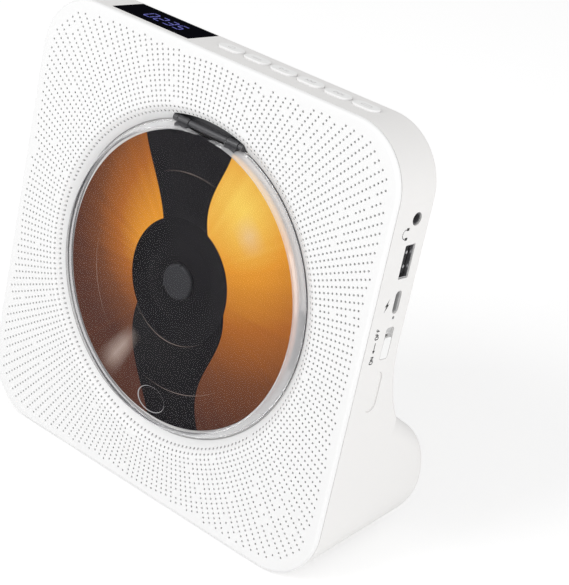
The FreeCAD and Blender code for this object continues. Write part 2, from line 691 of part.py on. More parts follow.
def socket_cuts():
    inner = HALF - WALL - 1
    outer = HALF + 1
    stem_run = SLIDER_STEM[0] + SLIDER_TRAVEL + 2 * SLIDER_FIT
    stem_low = slider_low() + slider_length() / 2 - SLIDER_STEM[0] / 2 - SLIDER_FIT
    half_stem = SLIDER_STEM[1] / 2 + SLIDER_FIT
    return [rod_x(JACK_HOLE, PORT_DEPTH, JACK_HEIGHT, inner, outer),
            port_prism(USB_OUTER, PORT_FIT, inner, outer, USB_HEIGHT, USB_ROUNDS[0]),
            side_stadium(USB_C_OUTER, PORT_FIT, inner, outer, PORT_DEPTH, USB_C_HEIGHT),
            rod_x(LED_RADIUS + SEAT, PORT_DEPTH, LED_HEIGHT, inner, outer),
            port_prism(SLIDER_POCKET, 0, HALF - SLIDER_DEPTH, outer, SLIDER_HEIGHT, SLIDER_ROUNDS[0]),
            box(inner, HALF, PORT_DEPTH - half_stem, PORT_DEPTH + half_stem, stem_low, stem_low + stem_run),
            side_stadium(BLANK_SIZE, 0, HALF - BLANK_DEPTH, outer, PORT_DEPTH - BLANK_FORWARD, BLANK_HEIGHT)]


def slider_length():
    return SLIDER_POCKET[0] - SLIDER_TRAVEL - 2 * SLIDER_FIT


def slider_low():
    return SLIDER_HEIGHT - SLIDER_POCKET[0] / 2 + SLIDER_FIT


def battery_axis():
    front, _, floor = base_frame()
    return front + BATTERY_BEHIND, floor + WALL + BATTERY_RADIUS + BATTERY_LIFT


def base_cover():
    floor = base_frame()[2]
    axis_y, axis_z = battery_axis()
    half_x, half_y = CRADLE_SIZE
    parts = [base_plan(-BASE_FIT, 0, WALL - SEAT)]
    for x in (-CRADLE_X, CRADLE_X):
        parts.append(box(x - half_x, x + half_x, axis_y - half_y, axis_y + half_y, floor + WALL - MERGE,
                         axis_z - CRADLE_TOP))
    cover = joined(parts).cut(rod_x(BATTERY_RADIUS + SEAT, axis_y, axis_z, -HALF, HALF))
    for x, y in base_screw_spots():
        cover = cover.cut(rod_z(SCREW_SHANK + SCREW_CLEARANCE, x, y, floor - 1, floor + WALL + 1))
        cover = cover.cut(rod_z(SCREW_HEAD + SCREW_CLEARANCE, x, y, floor - 1, floor + HEAD_THICKNESS))
    return from_floor(cover)


def battery():
    axis_y, axis_z = battery_axis()
    end = BATTERY_LENGTH / 2
    cell = rod_x(BATTERY_RADIUS, axis_y, axis_z, -end, end)
    button = rod_x(BATTERY_BUTTON[0], axis_y, axis_z, end, end + BATTERY_BUTTON[1])
    return from_floor(joined([cell, button]))


def rubber_feet():
    floor = base_frame()[2]
    return Part.makeCompound([from_floor(rod_z(PAD_RADIUS - SEAT, x, y, floor - PAD_PROUD, floor + PAD_SUNK))
                              for x, y in pad_spots()])


def lid():
    face = -LID_PROUD
    bevel = LID_RADIUS - LID_FACE_RADIUS
    shell = turned([(0, face), (LID_FACE_RADIUS, face), (LID_RADIUS, LID_BEVEL_DEPTH), (LID_RADIUS, LID_END),
                    (LID_RADIUS - LID_WALL, LID_END), (LID_RADIUS - LID_WALL, LID_BEVEL_DEPTH),
                    (LID_FACE_RADIUS - LID_WALL + bevel * BEVEL_SHIFT, face + LID_WALL),
                    (0, face + LID_WALL)])
    shell = shell.cut(box(-POCKET_HALF, POCKET_HALF, face - 1, LID_END + 1, LID_TOP_CUT, HALF))
    parts = [shell]
    for sign in (-1, 1):
        x0, x1 = sorted((sign * ARM_X[0], sign * ARM_X[1]))
        parts.append(rod_x(BARREL_RADIUS, PIN_DEPTH, PIN_HEIGHT, x0, x1))
        hinge_front = PIN_DEPTH - BARREL_RADIUS
        arm = box(x0, x1, hinge_front, PIN_DEPTH + BARREL_RADIUS, LID_TOP_CUT - ARM_OVERLAP, PIN_HEIGHT)
        root = box(x0, x1, face + LID_WALL - ARM_OVERLAP, hinge_front + 3 * ARM_OVERLAP,
                   LID_TOP_CUT - LID_WALL, LID_TOP_CUT + ARM_OVERLAP)
        parts += [arm, root]
    whole = joined(parts).cut(rod_x(PIN_RADIUS + PIN_FIT, PIN_DEPTH, PIN_HEIGHT, -HALF, HALF))
    dish = Part.makeCylinder(1, DIMPLE_DEPTH + 1, Vector(0, face - 1, 0), Vector(0, 1, 0))
    stretch = FreeCAD.Matrix(DIMPLE[0], 0, 0, 0, 0, 1, 0, 0, 0, 0, DIMPLE[1], -DIMPLE_DROP)
    oval = dish.transformGeometry(stretch)
    return whole.cut(oval)


def hinge_pin():
    return rod_x(PIN_RADIUS, PIN_DEPTH, PIN_HEIGHT, -PIN_SPAN, PIN_SPAN)


def hinge_bracket():
    # A dark block behind the lid's top edge: a base behind the deck, a middle block and two ears
    low = LID_TOP_CUT + BRACKET_LIFT
    outer = POCKET_HALF - BRACKET_FIT
    beside, below, above = BRACKET_FLANGE
    plate = box(-outer - beside, outer + beside, DECK_BACK + SEAT, DECK_BACK + BRACKET_THICKNESS,
                low - below, POCKET_RADIUS + above)
    block = box(-outer, outer, RIM_END + MERGE, DECK_BACK + 2 * MERGE, low, POCKET_RADIUS)
    block = block.common(rod_y(POCKET_RADIUS - BRACKET_FIT, 0, 0, 0, HALF))
    parts = [plate, block]
    middle_half = ARM_X[0] - HINGE_GAP
    ear = PIN_RADIUS + EAR_WALL
    side_start = ARM_X[1] + HINGE_GAP
    for x0, x1 in ((-middle_half, middle_half), (-outer, -side_start), (side_start, outer)):
        parts.append(rod_x(ear, PIN_DEPTH, PIN_HEIGHT, x0, x1))
        parts.append(box(x0, x1, PIN_DEPTH, RIM_END + 2 * MERGE, low, PIN_HEIGHT + ear))
    return joined(parts).cut(rod_x(PIN_RADIUS, PIN_DEPTH, PIN_HEIGHT, -PIN_SPAN, PIN_SPAN))


def disc():
    ring, half_width, rise = STACK_RING
    return turned([(DISC_HOLE, DISC_FRONT), (DISC_RADIUS, DISC_FRONT), (DISC_RADIUS, DISC_BACK),
                   (ring + half_width, DISC_BACK), (ring, DISC_BACK + rise), (ring - half_width, DISC_BACK),
                   (DISC_HOLE, DISC_BACK)])


def ball_spots():
    angles = [math.radians(90 + 360 * number / BALL_COUNT) for number in range(BALL_COUNT)]
    return [(BALL_ORBIT * math.cos(angle), BALL_ORBIT * math.sin(angle)) for angle in angles]


def spindle_hub():
    front = HUB_FRONT
    table_back = DISC_BACK + TABLE_THICKNESS
    boss_radius, boss_length = HUB_BOSS
    boss_back = table_back + boss_length
    shaft_end = CHASSIS_BACK + SPINDLE_MOTOR_LENGTH - SHAFT_SHORT
    hub = turned([(0, front), (HUB_RADIUS - HUB_NOSE, front),
                  (HUB_RADIUS - HUB_NOSE_TOP, front + HUB_NOSE_TOP), (HUB_RADIUS, front + HUB_NOSE),
                  (HUB_RADIUS, DISC_BACK), (TABLE_RADIUS, DISC_BACK),
                  (TABLE_RADIUS, table_back), (boss_radius, table_back), (boss_radius, boss_back),
                  (SHAFT_RADIUS, boss_back), (SHAFT_RADIUS, shaft_end), (0, shaft_end)])
    for x, z in ball_spots():
        hub = hub.cut(Part.makeSphere(BALL_RADIUS + BALL_FIT, Vector(x, BALL_DEPTH, z)))
    return hub


def chuck_balls():
    balls = [Part.makeSphere(BALL_RADIUS, Vector(x, BALL_DEPTH, z)) for x, z in ball_spots()]
    return Part.makeCompound(balls)


def spindle_motor():
    back = CHASSIS_BACK + SPINDLE_MOTOR_LENGTH
    bore = SHAFT_RADIUS + SHAFT_FIT
    boss_radius, boss_length = SPINDLE_MOTOR_BOSS
    shoulder = CHASSIS_BACK + SEAT
    return turned([(bore, CHASSIS_FRONT - boss_length), (boss_radius, CHASSIS_FRONT - boss_length),
                   (boss_radius, shoulder), (SPINDLE_MOTOR_RADIUS, shoulder),
                   (SPINDLE_MOTOR_RADIUS, back - SPINDLE_MOTOR_CHAMFER),
                   (SPINDLE_MOTOR_RADIUS - SPINDLE_MOTOR_CHAMFER, back), (bore, back)])


def deck():
    plate = rod_y(DECK_RADIUS, 0, 0, DECK_FRONT, DECK_BACK)
    parts = [plate]
    for angle, (x, z) in zip(ear_angles(), ear_spots()):
        bridge = box(DECK_RADIUS - EAR_BRIDGE, EAR_ORBIT, DECK_FRONT, DECK_BACK, -EAR_RADIUS, EAR_RADIUS)
        bridge.rotate(Vector(0, 0, 0), Vector(0, 1, 0), -math.degrees(angle))
        parts += [bridge, rod_y(EAR_RADIUS, x, z, DECK_FRONT, DECK_BACK)]
    for x, z in GROMMET_SPOTS:
        parts.append(rod_y(GROMMET_SEAT, x, z, DECK_BACK - MERGE, CHASSIS_FRONT - GROMMET_HALF - SEAT))
    whole = joined(parts)
    start, end, half = DECK_SLOT
    window = box(start, end, 0, HALF, -half, half)
    edges = [edge for edge in window.Edges if abs(edge.tangentAt(edge.FirstParameter).y) > 0.9]
    window = window.makeFillet(DECK_SLOT_ROUND, edges)
    cuts = [rod_y(DECK_HOLE, 0, 0, 0, HALF), window, hinge_pocket(0, DECK_BACK + 1)]
    for x, z in ear_spots():
        cuts.append(rod_y(SCREW_SHANK + SCREW_CLEARANCE, x, z, 0, HALF))
    for x, z in GROMMET_SPOTS:
        cuts.append(rod_y(SCREW_SHANK, x, z, DECK_FRONT + END_GAP, HALF))
    for tool in cuts:
        whole = whole.cut(tool)
    return whole


def chassis():
    right = ROD_SPAN[1] + CHASSIS_BEYOND_ROD
    plate = box(CHASSIS_LEFT, right, CHASSIS_FRONT, CHASSIS_BACK, CHASSIS_BOTTOM, CHASSIS_TOP)
    corner_edges = [edge for edge in plate.Edges if abs(edge.tangentAt(edge.FirstParameter).y) > 0.9]
    plate = plate.makeFillet(CHASSIS_CORNER, corner_edges)
    start, end, half = CHASSIS_SLOT
    window = box(start, end, 0, HALF, -half, half)
    edges = [edge for edge in window.Edges if abs(edge.tangentAt(edge.FirstParameter).y) > 0.9]
    motor_hole = rod_y(SPINDLE_MOTOR_BOSS[0] + SEAT, 0, 0, 0, HALF)
    plate = plate.cut(window.makeFillet(CHASSIS_SLOT_ROUND, edges)).cut(motor_hole)
    for x, z in GROMMET_SPOTS:
        plate = plate.cut(rod_y(GROMMET_NECK + SEAT, x, z, 0, HALF))
    stud_end = FEED_GEAR_DEPTH[3] + STUD_BEYOND
    parts = [plate, rod_y(STUD_RADIUS, FEED_X, FEED_HEIGHT, CHASSIS_BACK - MERGE, stud_end)]
    half_x, half_z = ROD_BLOCK
    for x in ROD_SPAN:
        for side in (-1, 1):
            z = side * ROD_HEIGHT
            parts.append(box(x - half_x, x + half_x, CHASSIS_BACK - MERGE, ROD_DEPTH + half_z,
                             z - half_z, z + half_z))
    whole = joined(parts)
    for side in (-1, 1):
        whole = whole.cut(rod_x(ROD_RADIUS, ROD_DEPTH, side * ROD_HEIGHT, ROD_SPAN[0], ROD_SPAN[1]))
    motor_x, motor_z = feed_motor_spot()
    return whole.cut(rod_y(FEED_MOTOR_BOSS + 2 * SEAT, motor_x, motor_z, 0, CHASSIS_BACK + SEAT))


def guide_rods():
    start = ROD_SPAN[0] + SEAT
    end = ROD_SPAN[1] - SEAT
    rods = [rod_x(ROD_RADIUS, ROD_DEPTH, side * ROD_HEIGHT, start, end) for side in (-1, 1)]
    return Part.makeCompound(rods)


def grommets():
    rings = []
    for x, z in GROMMET_SPOTS:
        front = CHASSIS_FRONT - GROMMET_HALF
        back = CHASSIS_BACK + GROMMET_HALF
        groove = (CHASSIS_FRONT - SEAT, CHASSIS_BACK + SEAT)
        profile = [(GROMMET_BORE, front), (GROMMET_RADIUS, front), (GROMMET_RADIUS, groove[0]),
                   (GROMMET_NECK, groove[0]), (GROMMET_NECK, groove[1]), (GROMMET_RADIUS, groove[1]),
                   (GROMMET_RADIUS, back), (GROMMET_BORE, back)]
        rings.append(turned(profile, x, z))
    return Part.makeCompound(rings)


def gear_outline(teeth, phase):
    # Straight-flanked teeth, thinned by the backlash, as points about the origin
    pitch_radius = MODULE * teeth / 2
    step = 2 * math.pi / teeth
    half_pitch = step / 4 - BACKLASH / 2 / pitch_radius
    tip = pitch_radius + ADDENDUM * MODULE
    root = pitch_radius - DEDENDUM * MODULE
    points = []
    for number in range(teeth):
        centre = phase + number * step
        flank = ((root, ROOT_WIDTH), (pitch_radius, 1.0), (tip, TIP_WIDTH))
        for radius, share in flank:
            points.append((radius, centre - half_pitch * share))
        for radius, share in reversed(flank):
            points.append((radius, centre + half_pitch * share))
    return [(radius * math.cos(angle), radius * math.sin(angle)) for radius, angle in points]


def gear(teeth, x, z, y0, y1, phase):
    points = [Vector(x + a, y0, z + b) for a, b in gear_outline(teeth, phase)]
    return Part.Face(Part.makePolygon(points + [points[0]])).extrude(Vector(0, y1 - y0, 0))


def rack(y0, y1, x0, x1):
    # Teeth point down and leave a gap at the feed pinion's middle at rest
    pitch = math.pi * MODULE
    count_back = math.floor((FEED_X - x0) / pitch)
    first = FEED_X - (count_back - 0.5) * pitch
    count = math.floor((x1 - first) / pitch)
    top = -PICKUP_HEIGHT + MERGE
    root = -RACK_DROP + DEDENDUM * MODULE
    tip = -RACK_DROP - ADDENDUM * MODULE
    teeth = [box(x0, x1, y0, y1, root, top)]
    for number in range(count + 1):
        centre = first + number * pitch
        half_root = pitch / 4 * RACK_ROOT_WIDTH - BACKLASH / 2
        half_tip = pitch / 4 * RACK_TIP_WIDTH - BACKLASH / 2
        points = [Vector(centre - half_root, y0, root), Vector(centre - half_tip, y0, tip),
                  Vector(centre + half_tip, y0, tip), Vector(centre + half_root, y0, root),
                  Vector(centre + half_root, y0, root + RACK_OVERLAP),
                  Vector(centre - half_root, y0, root + RACK_OVERLAP)]
        teeth.append(Part.Face(Part.makePolygon(points + [points[0]])).extrude(Vector(0, y1 - y0, 0)))
    return joined(teeth)


def pickup():
    x0 = LENS_START - PICKUP_HALF
    x1 = LENS_START + PICKUP_HALF
    body = box(x0, x1, PICKUP_BODY[0], PICKUP_BODY[1], -PICKUP_HEIGHT, PICKUP_HEIGHT)
    neck_front = DECK_BACK + RUNNING_GAP
    neck = box(x0 + PICKUP_NECK_INSET, x1 - PICKUP_NECK_INSET, neck_front, PICKUP_BODY[0] + MERGE,
               -PICKUP_NECK, PICKUP_NECK)
    edges = [edge for edge in neck.Edges if abs(edge.tangentAt(edge.FirstParameter).y) > 0.9]
    neck = neck.makeFillet(PICKUP_NECK_ROUND, edges)
    seat = rod_y(LENS_RADIUS + LENS_SEAT_WALL, LENS_START, 0, LENS_FRONT + MERGE, PICKUP_BODY[0])
    toothed = rack(RACK_DEPTH[0], RACK_DEPTH[1], FEED_X - SLED_TRAVEL - RACK_BEYOND, FEED_X + RACK_BEYOND)
    whole = joined([body, neck, seat, toothed])
    for side in (-1, 1):
        whole = whole.cut(rod_x(ROD_RADIUS + ROD_FIT, ROD_DEPTH, side * ROD_HEIGHT, 0, HALF))
    return whole.cut(rod_y(LENS_RADIUS + SEAT, LENS_START, 0, 0, PICKUP_BODY[0] + 1))


def lens():
    # A small biconvex lens in the top of the pickup
    return moved(turned(LENS_PROFILE), LENS_START, LENS_FRONT, 0)


def feed_motor_spot():
    reach = (WHEEL_RADIUS + PINION_RADIUS) * math.sqrt(0.5)
    return FEED_X + reach, FEED_HEIGHT - reach


def feed_gear():
    pinion_front, pinion_back, wheel_front, wheel_back = FEED_GEAR_DEPTH
    pinion = gear(PINION_TEETH, FEED_X, FEED_HEIGHT, pinion_front, wheel_front + MERGE, math.radians(90))
    wheel = gear(WHEEL_TEETH, FEED_X, FEED_HEIGHT, wheel_front, wheel_back, math.radians(-45))
    bore = rod_y(STUD_RADIUS + SHAFT_FIT, FEED_X, FEED_HEIGHT, 0, HALF)
    return joined([pinion, wheel]).cut(bore)


def motor_pinion():
    x, z = feed_motor_spot()
    _, _, front, back = FEED_GEAR_DEPTH
    half_tooth = math.pi / PINION_TEETH
    toothed = gear(PINION_TEETH, x, z, front, back, math.radians(135) + half_tooth)
    shaft = rod_y(FEED_SHAFT_RADIUS, x, z, CHASSIS_BACK + FEED_SHAFT_STARTS[1], back)
    return joined([toothed, shaft])


def feed_motor():
    x, z = feed_motor_spot()
    front = CHASSIS_BACK + SEAT
    back = front + FEED_MOTOR_LENGTH
    can = rod_y(FEED_MOTOR_RADIUS, x, z, front, back)
    boss = rod_y(FEED_MOTOR_BOSS, x, z, CHASSIS_FRONT + SEAT, front + MERGE)
    bore = rod_y(FEED_SHAFT_RADIUS + SHAFT_FIT, x, z, CHASSIS_BACK + FEED_SHAFT_STARTS[0], back + 1)
    return joined([can, boss]).cut(bore)


def key(number):
    x = key_places()[number]
    flange_top = CEILING - SEAT
    flange_low = flange_top - KEY_FLANGE_DEPTH
    cap = key_prism(0, flange_low, HALF + KEY_PROUD)
    top_edges = [edge for edge in cap.Edges if edge.BoundBox.ZMin > HALF + KEY_PROUD - 1e-3]
    cap = cap.makeFillet(KEY_ROUND, top_edges)
    flange = key_prism(KEY_FLANGE, flange_low, flange_top)
    stem_low = TOP_BOARD_HIGH + SWITCH_SIZE[2] + KEY_TRAVEL + SEAT
    stem = rod_z(KEY_STEM, 0, 0, stem_low, flange_low + MERGE)
    return moved(joined([cap, flange, stem]), x, ROW_DEPTH, 0)


def key_switches():
    half_x, half_y = SWITCH_SIZE[0] / 2, SWITCH_SIZE[1] / 2
    top = TOP_BOARD_HIGH + SWITCH_SIZE[2]
    radius, rise = SWITCH_PLUNGER
    blocks = []
    for x in key_places():
        body = box(x - half_x, x + half_x, ROW_DEPTH - half_y, ROW_DEPTH + half_y,
                   TOP_BOARD_HIGH, top - rise)
        blocks.append(joined([body, rod_z(radius, x, ROW_DEPTH, TOP_BOARD_HIGH, top)]))
    return Part.makeCompound(blocks)


def top_board():
    places = top_boss_places()
    board = box(places[0] - TOP_BOARD_BESIDE, places[-1] + TOP_BOARD_BESIDE, ROW_DEPTH - TOP_BOARD_HALF,
                ROW_DEPTH + TOP_BOARD_HALF, TOP_BOARD_LOW, TOP_BOARD_HIGH)
    for x in places:
        board = board.cut(rod_z(SCREW_SHANK + SCREW_CLEARANCE, x, ROW_DEPTH, 0, HALF))
    return board


def display_module():
    beside, above = DISPLAY_MODULE_GAP
    half_x = DISPLAY_SIZE[0] / 2 - DISPLAY_LEDGE - beside
    half_y = DISPLAY_SIZE[1] / 2 - DISPLAY_LEDGE - beside
    return box(DISPLAY_X - half_x, DISPLAY_X + half_x, ROW_DEPTH - half_y, ROW_DEPTH + half_y,
               TOP_BOARD_HIGH, HALF - DISPLAY_GLASS - above)


def display_glass():
    half_x = DISPLAY_SIZE[0] / 2
    half_y = DISPLAY_SIZE[1] / 2
    return box(DISPLAY_X - half_x, DISPLAY_X + half_x, ROW_DEPTH - half_y, ROW_DEPTH + half_y,
               HALF - DISPLAY_GLASS, HALF)


def side_board(side):
    x = SIDE_BOARD_X
    z = SIDE_BOARD_HEIGHT
    half_x, half_z = SIDE_BOARD_HALF
    back = SIDE_BOARD_FRONT + BOARD
    board = box(side * x - half_x, side * x + half_x, SIDE_BOARD_FRONT, back, z - half_z, z + half_z)
    for boss_x, boss_z in side_boss_spots():
        board = board.cut(rod_y(SCREW_SHANK + SCREW_CLEARANCE, boss_x, boss_z, 0, HALF))
    return board


def main_chips():
    # Amplifier, decoder and memory chips and three capacitors on the left board
    front = SIDE_BOARD_FRONT
    chips = []
    for along, above, width, height, thickness in CHIPS:
        x = -SIDE_BOARD_X + along
        z = SIDE_BOARD_HEIGHT + above
        chips.append(box(x - width / 2, x + width / 2, front - thickness, front,
                         z - height / 2, z + height / 2))
    for along, above in CAPACITORS:
        spot = (-SIDE_BOARD_X + along, SIDE_BOARD_HEIGHT + above)
        chips.append(rod_y(CAPACITOR_RADIUS, spot[0], spot[1], front - CAPACITOR_LENGTH, front))
    return Part.makeCompound(chips)


def audio_jack():
    back = HALF - JACK_LENGTH
    inner = HALF - WALL - PORT_BODY_GAP
    low = JACK_HEIGHT - JACK_HALF
    high = JACK_HEIGHT + JACK_HALF
    body = box(back, inner, PORT_DEPTH - PORT_BODY_FRONT, SIDE_BOARD_FRONT, low, high)
    nose = rod_x(JACK_NOSE, PORT_DEPTH, JACK_HEIGHT, inner - MERGE, HALF - JACK_SUNK)
    return joined([body, nose]).cut(rod_x(JACK_BORE, PORT_DEPTH, JACK_HEIGHT, back + JACK_END, HALF))


def usb_shell():
    back = HALF - USB_LENGTH
    outer = port_prism(USB_OUTER, 0, back, HALF - PORT_SUNK, USB_HEIGHT, USB_ROUNDS[1])
    return outer.cut(port_prism(USB_OUTER, -SHELL_WALL, back + SHELL_WALL, HALF, USB_HEIGHT))


def usb_tongue():
    back = HALF - USB_LENGTH + SHELL_WALL
    half_z = USB_OUTER[0] / 2 - SHELL_WALL - SEAT
    half_y = USB_OUTER[1] / 2 - SHELL_WALL - SEAT
    base = box(back, back + TONGUE_BASE, PORT_DEPTH - half_y, PORT_DEPTH + half_y,
               USB_HEIGHT - half_z, USB_HEIGHT + half_z)
    half_z -= TONGUE_INSET
    blade = box(back + TONGUE_BASE - MERGE, HALF - TONGUE_SUNK, PORT_DEPTH + TONGUE_DEPTHS[0],
                PORT_DEPTH + TONGUE_DEPTHS[1], USB_HEIGHT - half_z, USB_HEIGHT + half_z)
    return joined([base, blade])


def usb_c_socket():
    back = HALF - USB_C_LENGTH
    outer = side_stadium(USB_C_OUTER, 0, back, HALF - PORT_SUNK, PORT_DEPTH, USB_C_HEIGHT)
    hollow = side_stadium(USB_C_OUTER, -SHELL_WALL, back + USB_C_END, HALF, PORT_DEPTH, USB_C_HEIGHT)
    length, start, half_z = USB_C_FOOT
    foot = box(back, back + length, PORT_DEPTH + start, SIDE_BOARD_FRONT,
               USB_C_HEIGHT - half_z, USB_C_HEIGHT + half_z)
    sunk, half_y, half_z = USB_C_BLADE
    blade = box(back + USB_C_END - MERGE, HALF - sunk, PORT_DEPTH - half_y, PORT_DEPTH + half_y,
                USB_C_HEIGHT - half_z, USB_C_HEIGHT + half_z)
    return joined([joined([outer, foot]).cut(hollow), blade])


def light_pipe():
    pipe_end, block_back, block_front, half = LED_PIPE
    pipe = rod_x(LED_RADIUS, PORT_DEPTH, LED_HEIGHT, HALF - pipe_end, HALF)
    block = box(HALF - block_back, HALF - block_front, PORT_DEPTH - half, SIDE_BOARD_FRONT,
                LED_HEIGHT - half, LED_HEIGHT + half)
    return joined([pipe, block])


def power_slider():
    low = slider_low()
    length = slider_length()
    floor_x = HALF - SLIDER_DEPTH + SLIDER_LIFT
    half_y = SLIDER_POCKET[1] / 2 - SLIDER_FIT
    cap = box(floor_x, HALF - SLIDER_SUNK, PORT_DEPTH - half_y, PORT_DEPTH + half_y, low, low + length)
    edges = [edge for edge in cap.Edges if abs(edge.tangentAt(edge.FirstParameter).x) > 0.9]
    cap = cap.makeFillet(SLIDER_ROUNDS[1], edges)
    half_z = SLIDER_STEM[0] / 2
    half_y = SLIDER_STEM[1] / 2
    mid = low + length / 2
    stem = box(HALF - SLIDER_STEM_REACH, floor_x + MERGE, PORT_DEPTH - half_y, PORT_DEPTH + half_y,
               mid - half_z, mid + half_z)
    return joined([cap, stem])


def power_switch():
    front = HALF - WALL - SIDE_BOARD_GAP
    depth, half = SWITCH_BODY
    body = box(front - depth, front, PORT_DEPTH - PORT_BODY_FRONT, SIDE_BOARD_FRONT,
               SLIDER_HEIGHT - half, SLIDER_HEIGHT + half)
    slot_depth, beside, beyond = SWITCH_SLOT
    half_y = SLIDER_STEM[1] / 2 + beside
    half_z = SLIDER_STEM[0] / 2 + beyond
    mid = slider_low() + slider_length() / 2
    slot = box(front - slot_depth, front + 1, PORT_DEPTH - half_y, PORT_DEPTH + half_y,
               mid - half_z, mid + half_z + SLIDER_TRAVEL)
    return body.cut(slot)


def speaker_basket(x, z, front):
    hole = SPEAKER_OPENING
    flange_back = front + SPEAKER_FLANGE
    outside, inside = BASKET_BACK
    back = front + BASKET_DEPTH
    basket = turned([(hole, front), (SPEAKER_RADIUS, front), (SPEAKER_RADIUS, flange_back),
                     (hole + BASKET_WALL, flange_back), (outside, back), (outside, back + BASKET_WALL),
                     (inside, back + BASKET_WALL), (inside, back), (outside - BASKET_WALL, back),
                     (hole, flange_back)], x, z)
    ears = [rod_y(DECK_BOSS, ex, ez, front, flange_back) for ex, ez in speaker_screw_spots() if ex * x > 0]
    basket = joined([basket] + ears)
    for ex, ez in speaker_screw_spots():
        basket = basket.cut(rod_y(SCREW_SHANK + SCREW_CLEARANCE, ex, ez, 0, HALF))
    return basket.cut(rod_y(hole, x, z, 0, flange_back))


def speaker_cone(x, z, front):
    edge = front + CONE_FRONT
    neck, coil_end = [front + depth for depth in COIL_DEPTHS]
    cap = front + CAP_DEPTH
    inner = COIL_RADIUS - CONE_WALL
    return turned([(CONE_RADIUS, edge), (CONE_RADIUS, edge + CONE_WALL),
                   (COIL_RADIUS, neck + 3 * CONE_WALL), (COIL_RADIUS, coil_end), (inner, coil_end),
                   (inner, neck + CONE_WALL), (0, cap + CONE_WALL), (0, cap),
                   (COIL_RADIUS + CONE_WALL, neck)], x, z)


def speaker_surround(x, z, front):
    # A half roll from the cone's edge to the basket's opening
    edge = front + CONE_FRONT
    roll = edge - SURROUND_RISE
    shoulder = (SPEAKER_OPENING - CONE_RADIUS) / 4
    left = CONE_RADIUS + shoulder
    right = SPEAKER_OPENING - shoulder
    return turned([(CONE_RADIUS, edge), (left, roll), (right, roll), (SPEAKER_OPENING, edge),
                   (SPEAKER_OPENING, edge + CONE_WALL), (right, roll + CONE_WALL), (left, roll + CONE_WALL),
                   (CONE_RADIUS, edge + CONE_WALL)], x, z)


def speaker_magnet(x, z, front):
    start = front + BASKET_DEPTH + BASKET_WALL + SEAT
    end = start + MAGNET_LENGTH
    return turned([(0, start), (MAGNET_RADIUS, start), (MAGNET_RADIUS, end - MAGNET_CHAMFER),
                   (MAGNET_RADIUS - MAGNET_CHAMFER, end), (0, end)], x, z)


def speaker_parts(x, z):
    front = FRONT_PLATE + CLOTH + 2 * SEAT
    makers = {"basket": speaker_basket, "surround": speaker_surround, "cone": speaker_cone,
              "magnet": speaker_magnet}
    return {name: make(x, z, front) for name, make in makers.items()}


def screw(spot, seat, tip):
    # One screw along the depth: its head sits behind seat and its shank ends at tip
    x, z = spot
    head = rod_y(SCREW_HEAD, x, z, seat, seat + HEAD_THICKNESS)
    return joined([head, rod_y(SCREW_SHANK, x, z, tip, seat + SEAT)])


def case_screws():
    seat = SLAB_DEPTH - HEAD_THICKNESS
    tip = INNER_BACK - CASE_SCREW_LENGTH
    return Part.makeCompound([screw(spot, seat, tip) for spot in mirrored(CASE_SCREW_SPOTS)])


def mechanism_screws():
    screws = [screw(spot, DECK_BACK, FRONT_PLATE - PLATE_BITE) for spot in ear_spots()]
    screws += [screw(spot, CHASSIS_BACK + GROMMET_HALF, DECK_FRONT + 2 * END_GAP) for spot in GROMMET_SPOTS]
    return Part.makeCompound(screws)


def speaker_screws():
    seat = FRONT_PLATE + CLOTH + 2 * SEAT + SPEAKER_FLANGE
    return Part.makeCompound([screw(spot, seat, FRONT_PLATE - PLATE_BITE) for spot in speaker_screw_spots()])


def board_screws():
    screws = []
    for x in top_boss_places():
        head = rod_z(SCREW_HEAD, x, ROW_DEPTH, TOP_BOARD_LOW - HEAD_THICKNESS, TOP_BOARD_LOW)
        shank = rod_z(SCREW_SHANK, x, ROW_DEPTH, TOP_BOARD_LOW - SEAT, CEILING - 2 * END_GAP)
        screws.append(joined([head, shank]))
    for x, z in side_boss_spots():
        head = rod_y(SCREW_HEAD, x, z, SIDE_BOARD_FRONT - HEAD_THICKNESS, SIDE_BOARD_FRONT)
        shank = rod_y(SCREW_SHANK, x, z, SIDE_BOARD_FRONT - SEAT, INNER_BACK - END_GAP)
        screws.append(joined([head, shank]))
    return Part.makeCompound(screws)


def base_screws():
    floor = base_frame()[2]
    screws = []
    for x, y in base_screw_spots():
        head = rod_z(SCREW_HEAD, x, y, floor, floor + HEAD_THICKNESS)
        shank = rod_z(SCREW_SHANK, x, y, floor + HEAD_THICKNESS - SEAT, floor + WALL + BASE_SCREW_RISE)
        screws.append(from_floor(joined([head, shank])))
    return Part.makeCompound(screws)


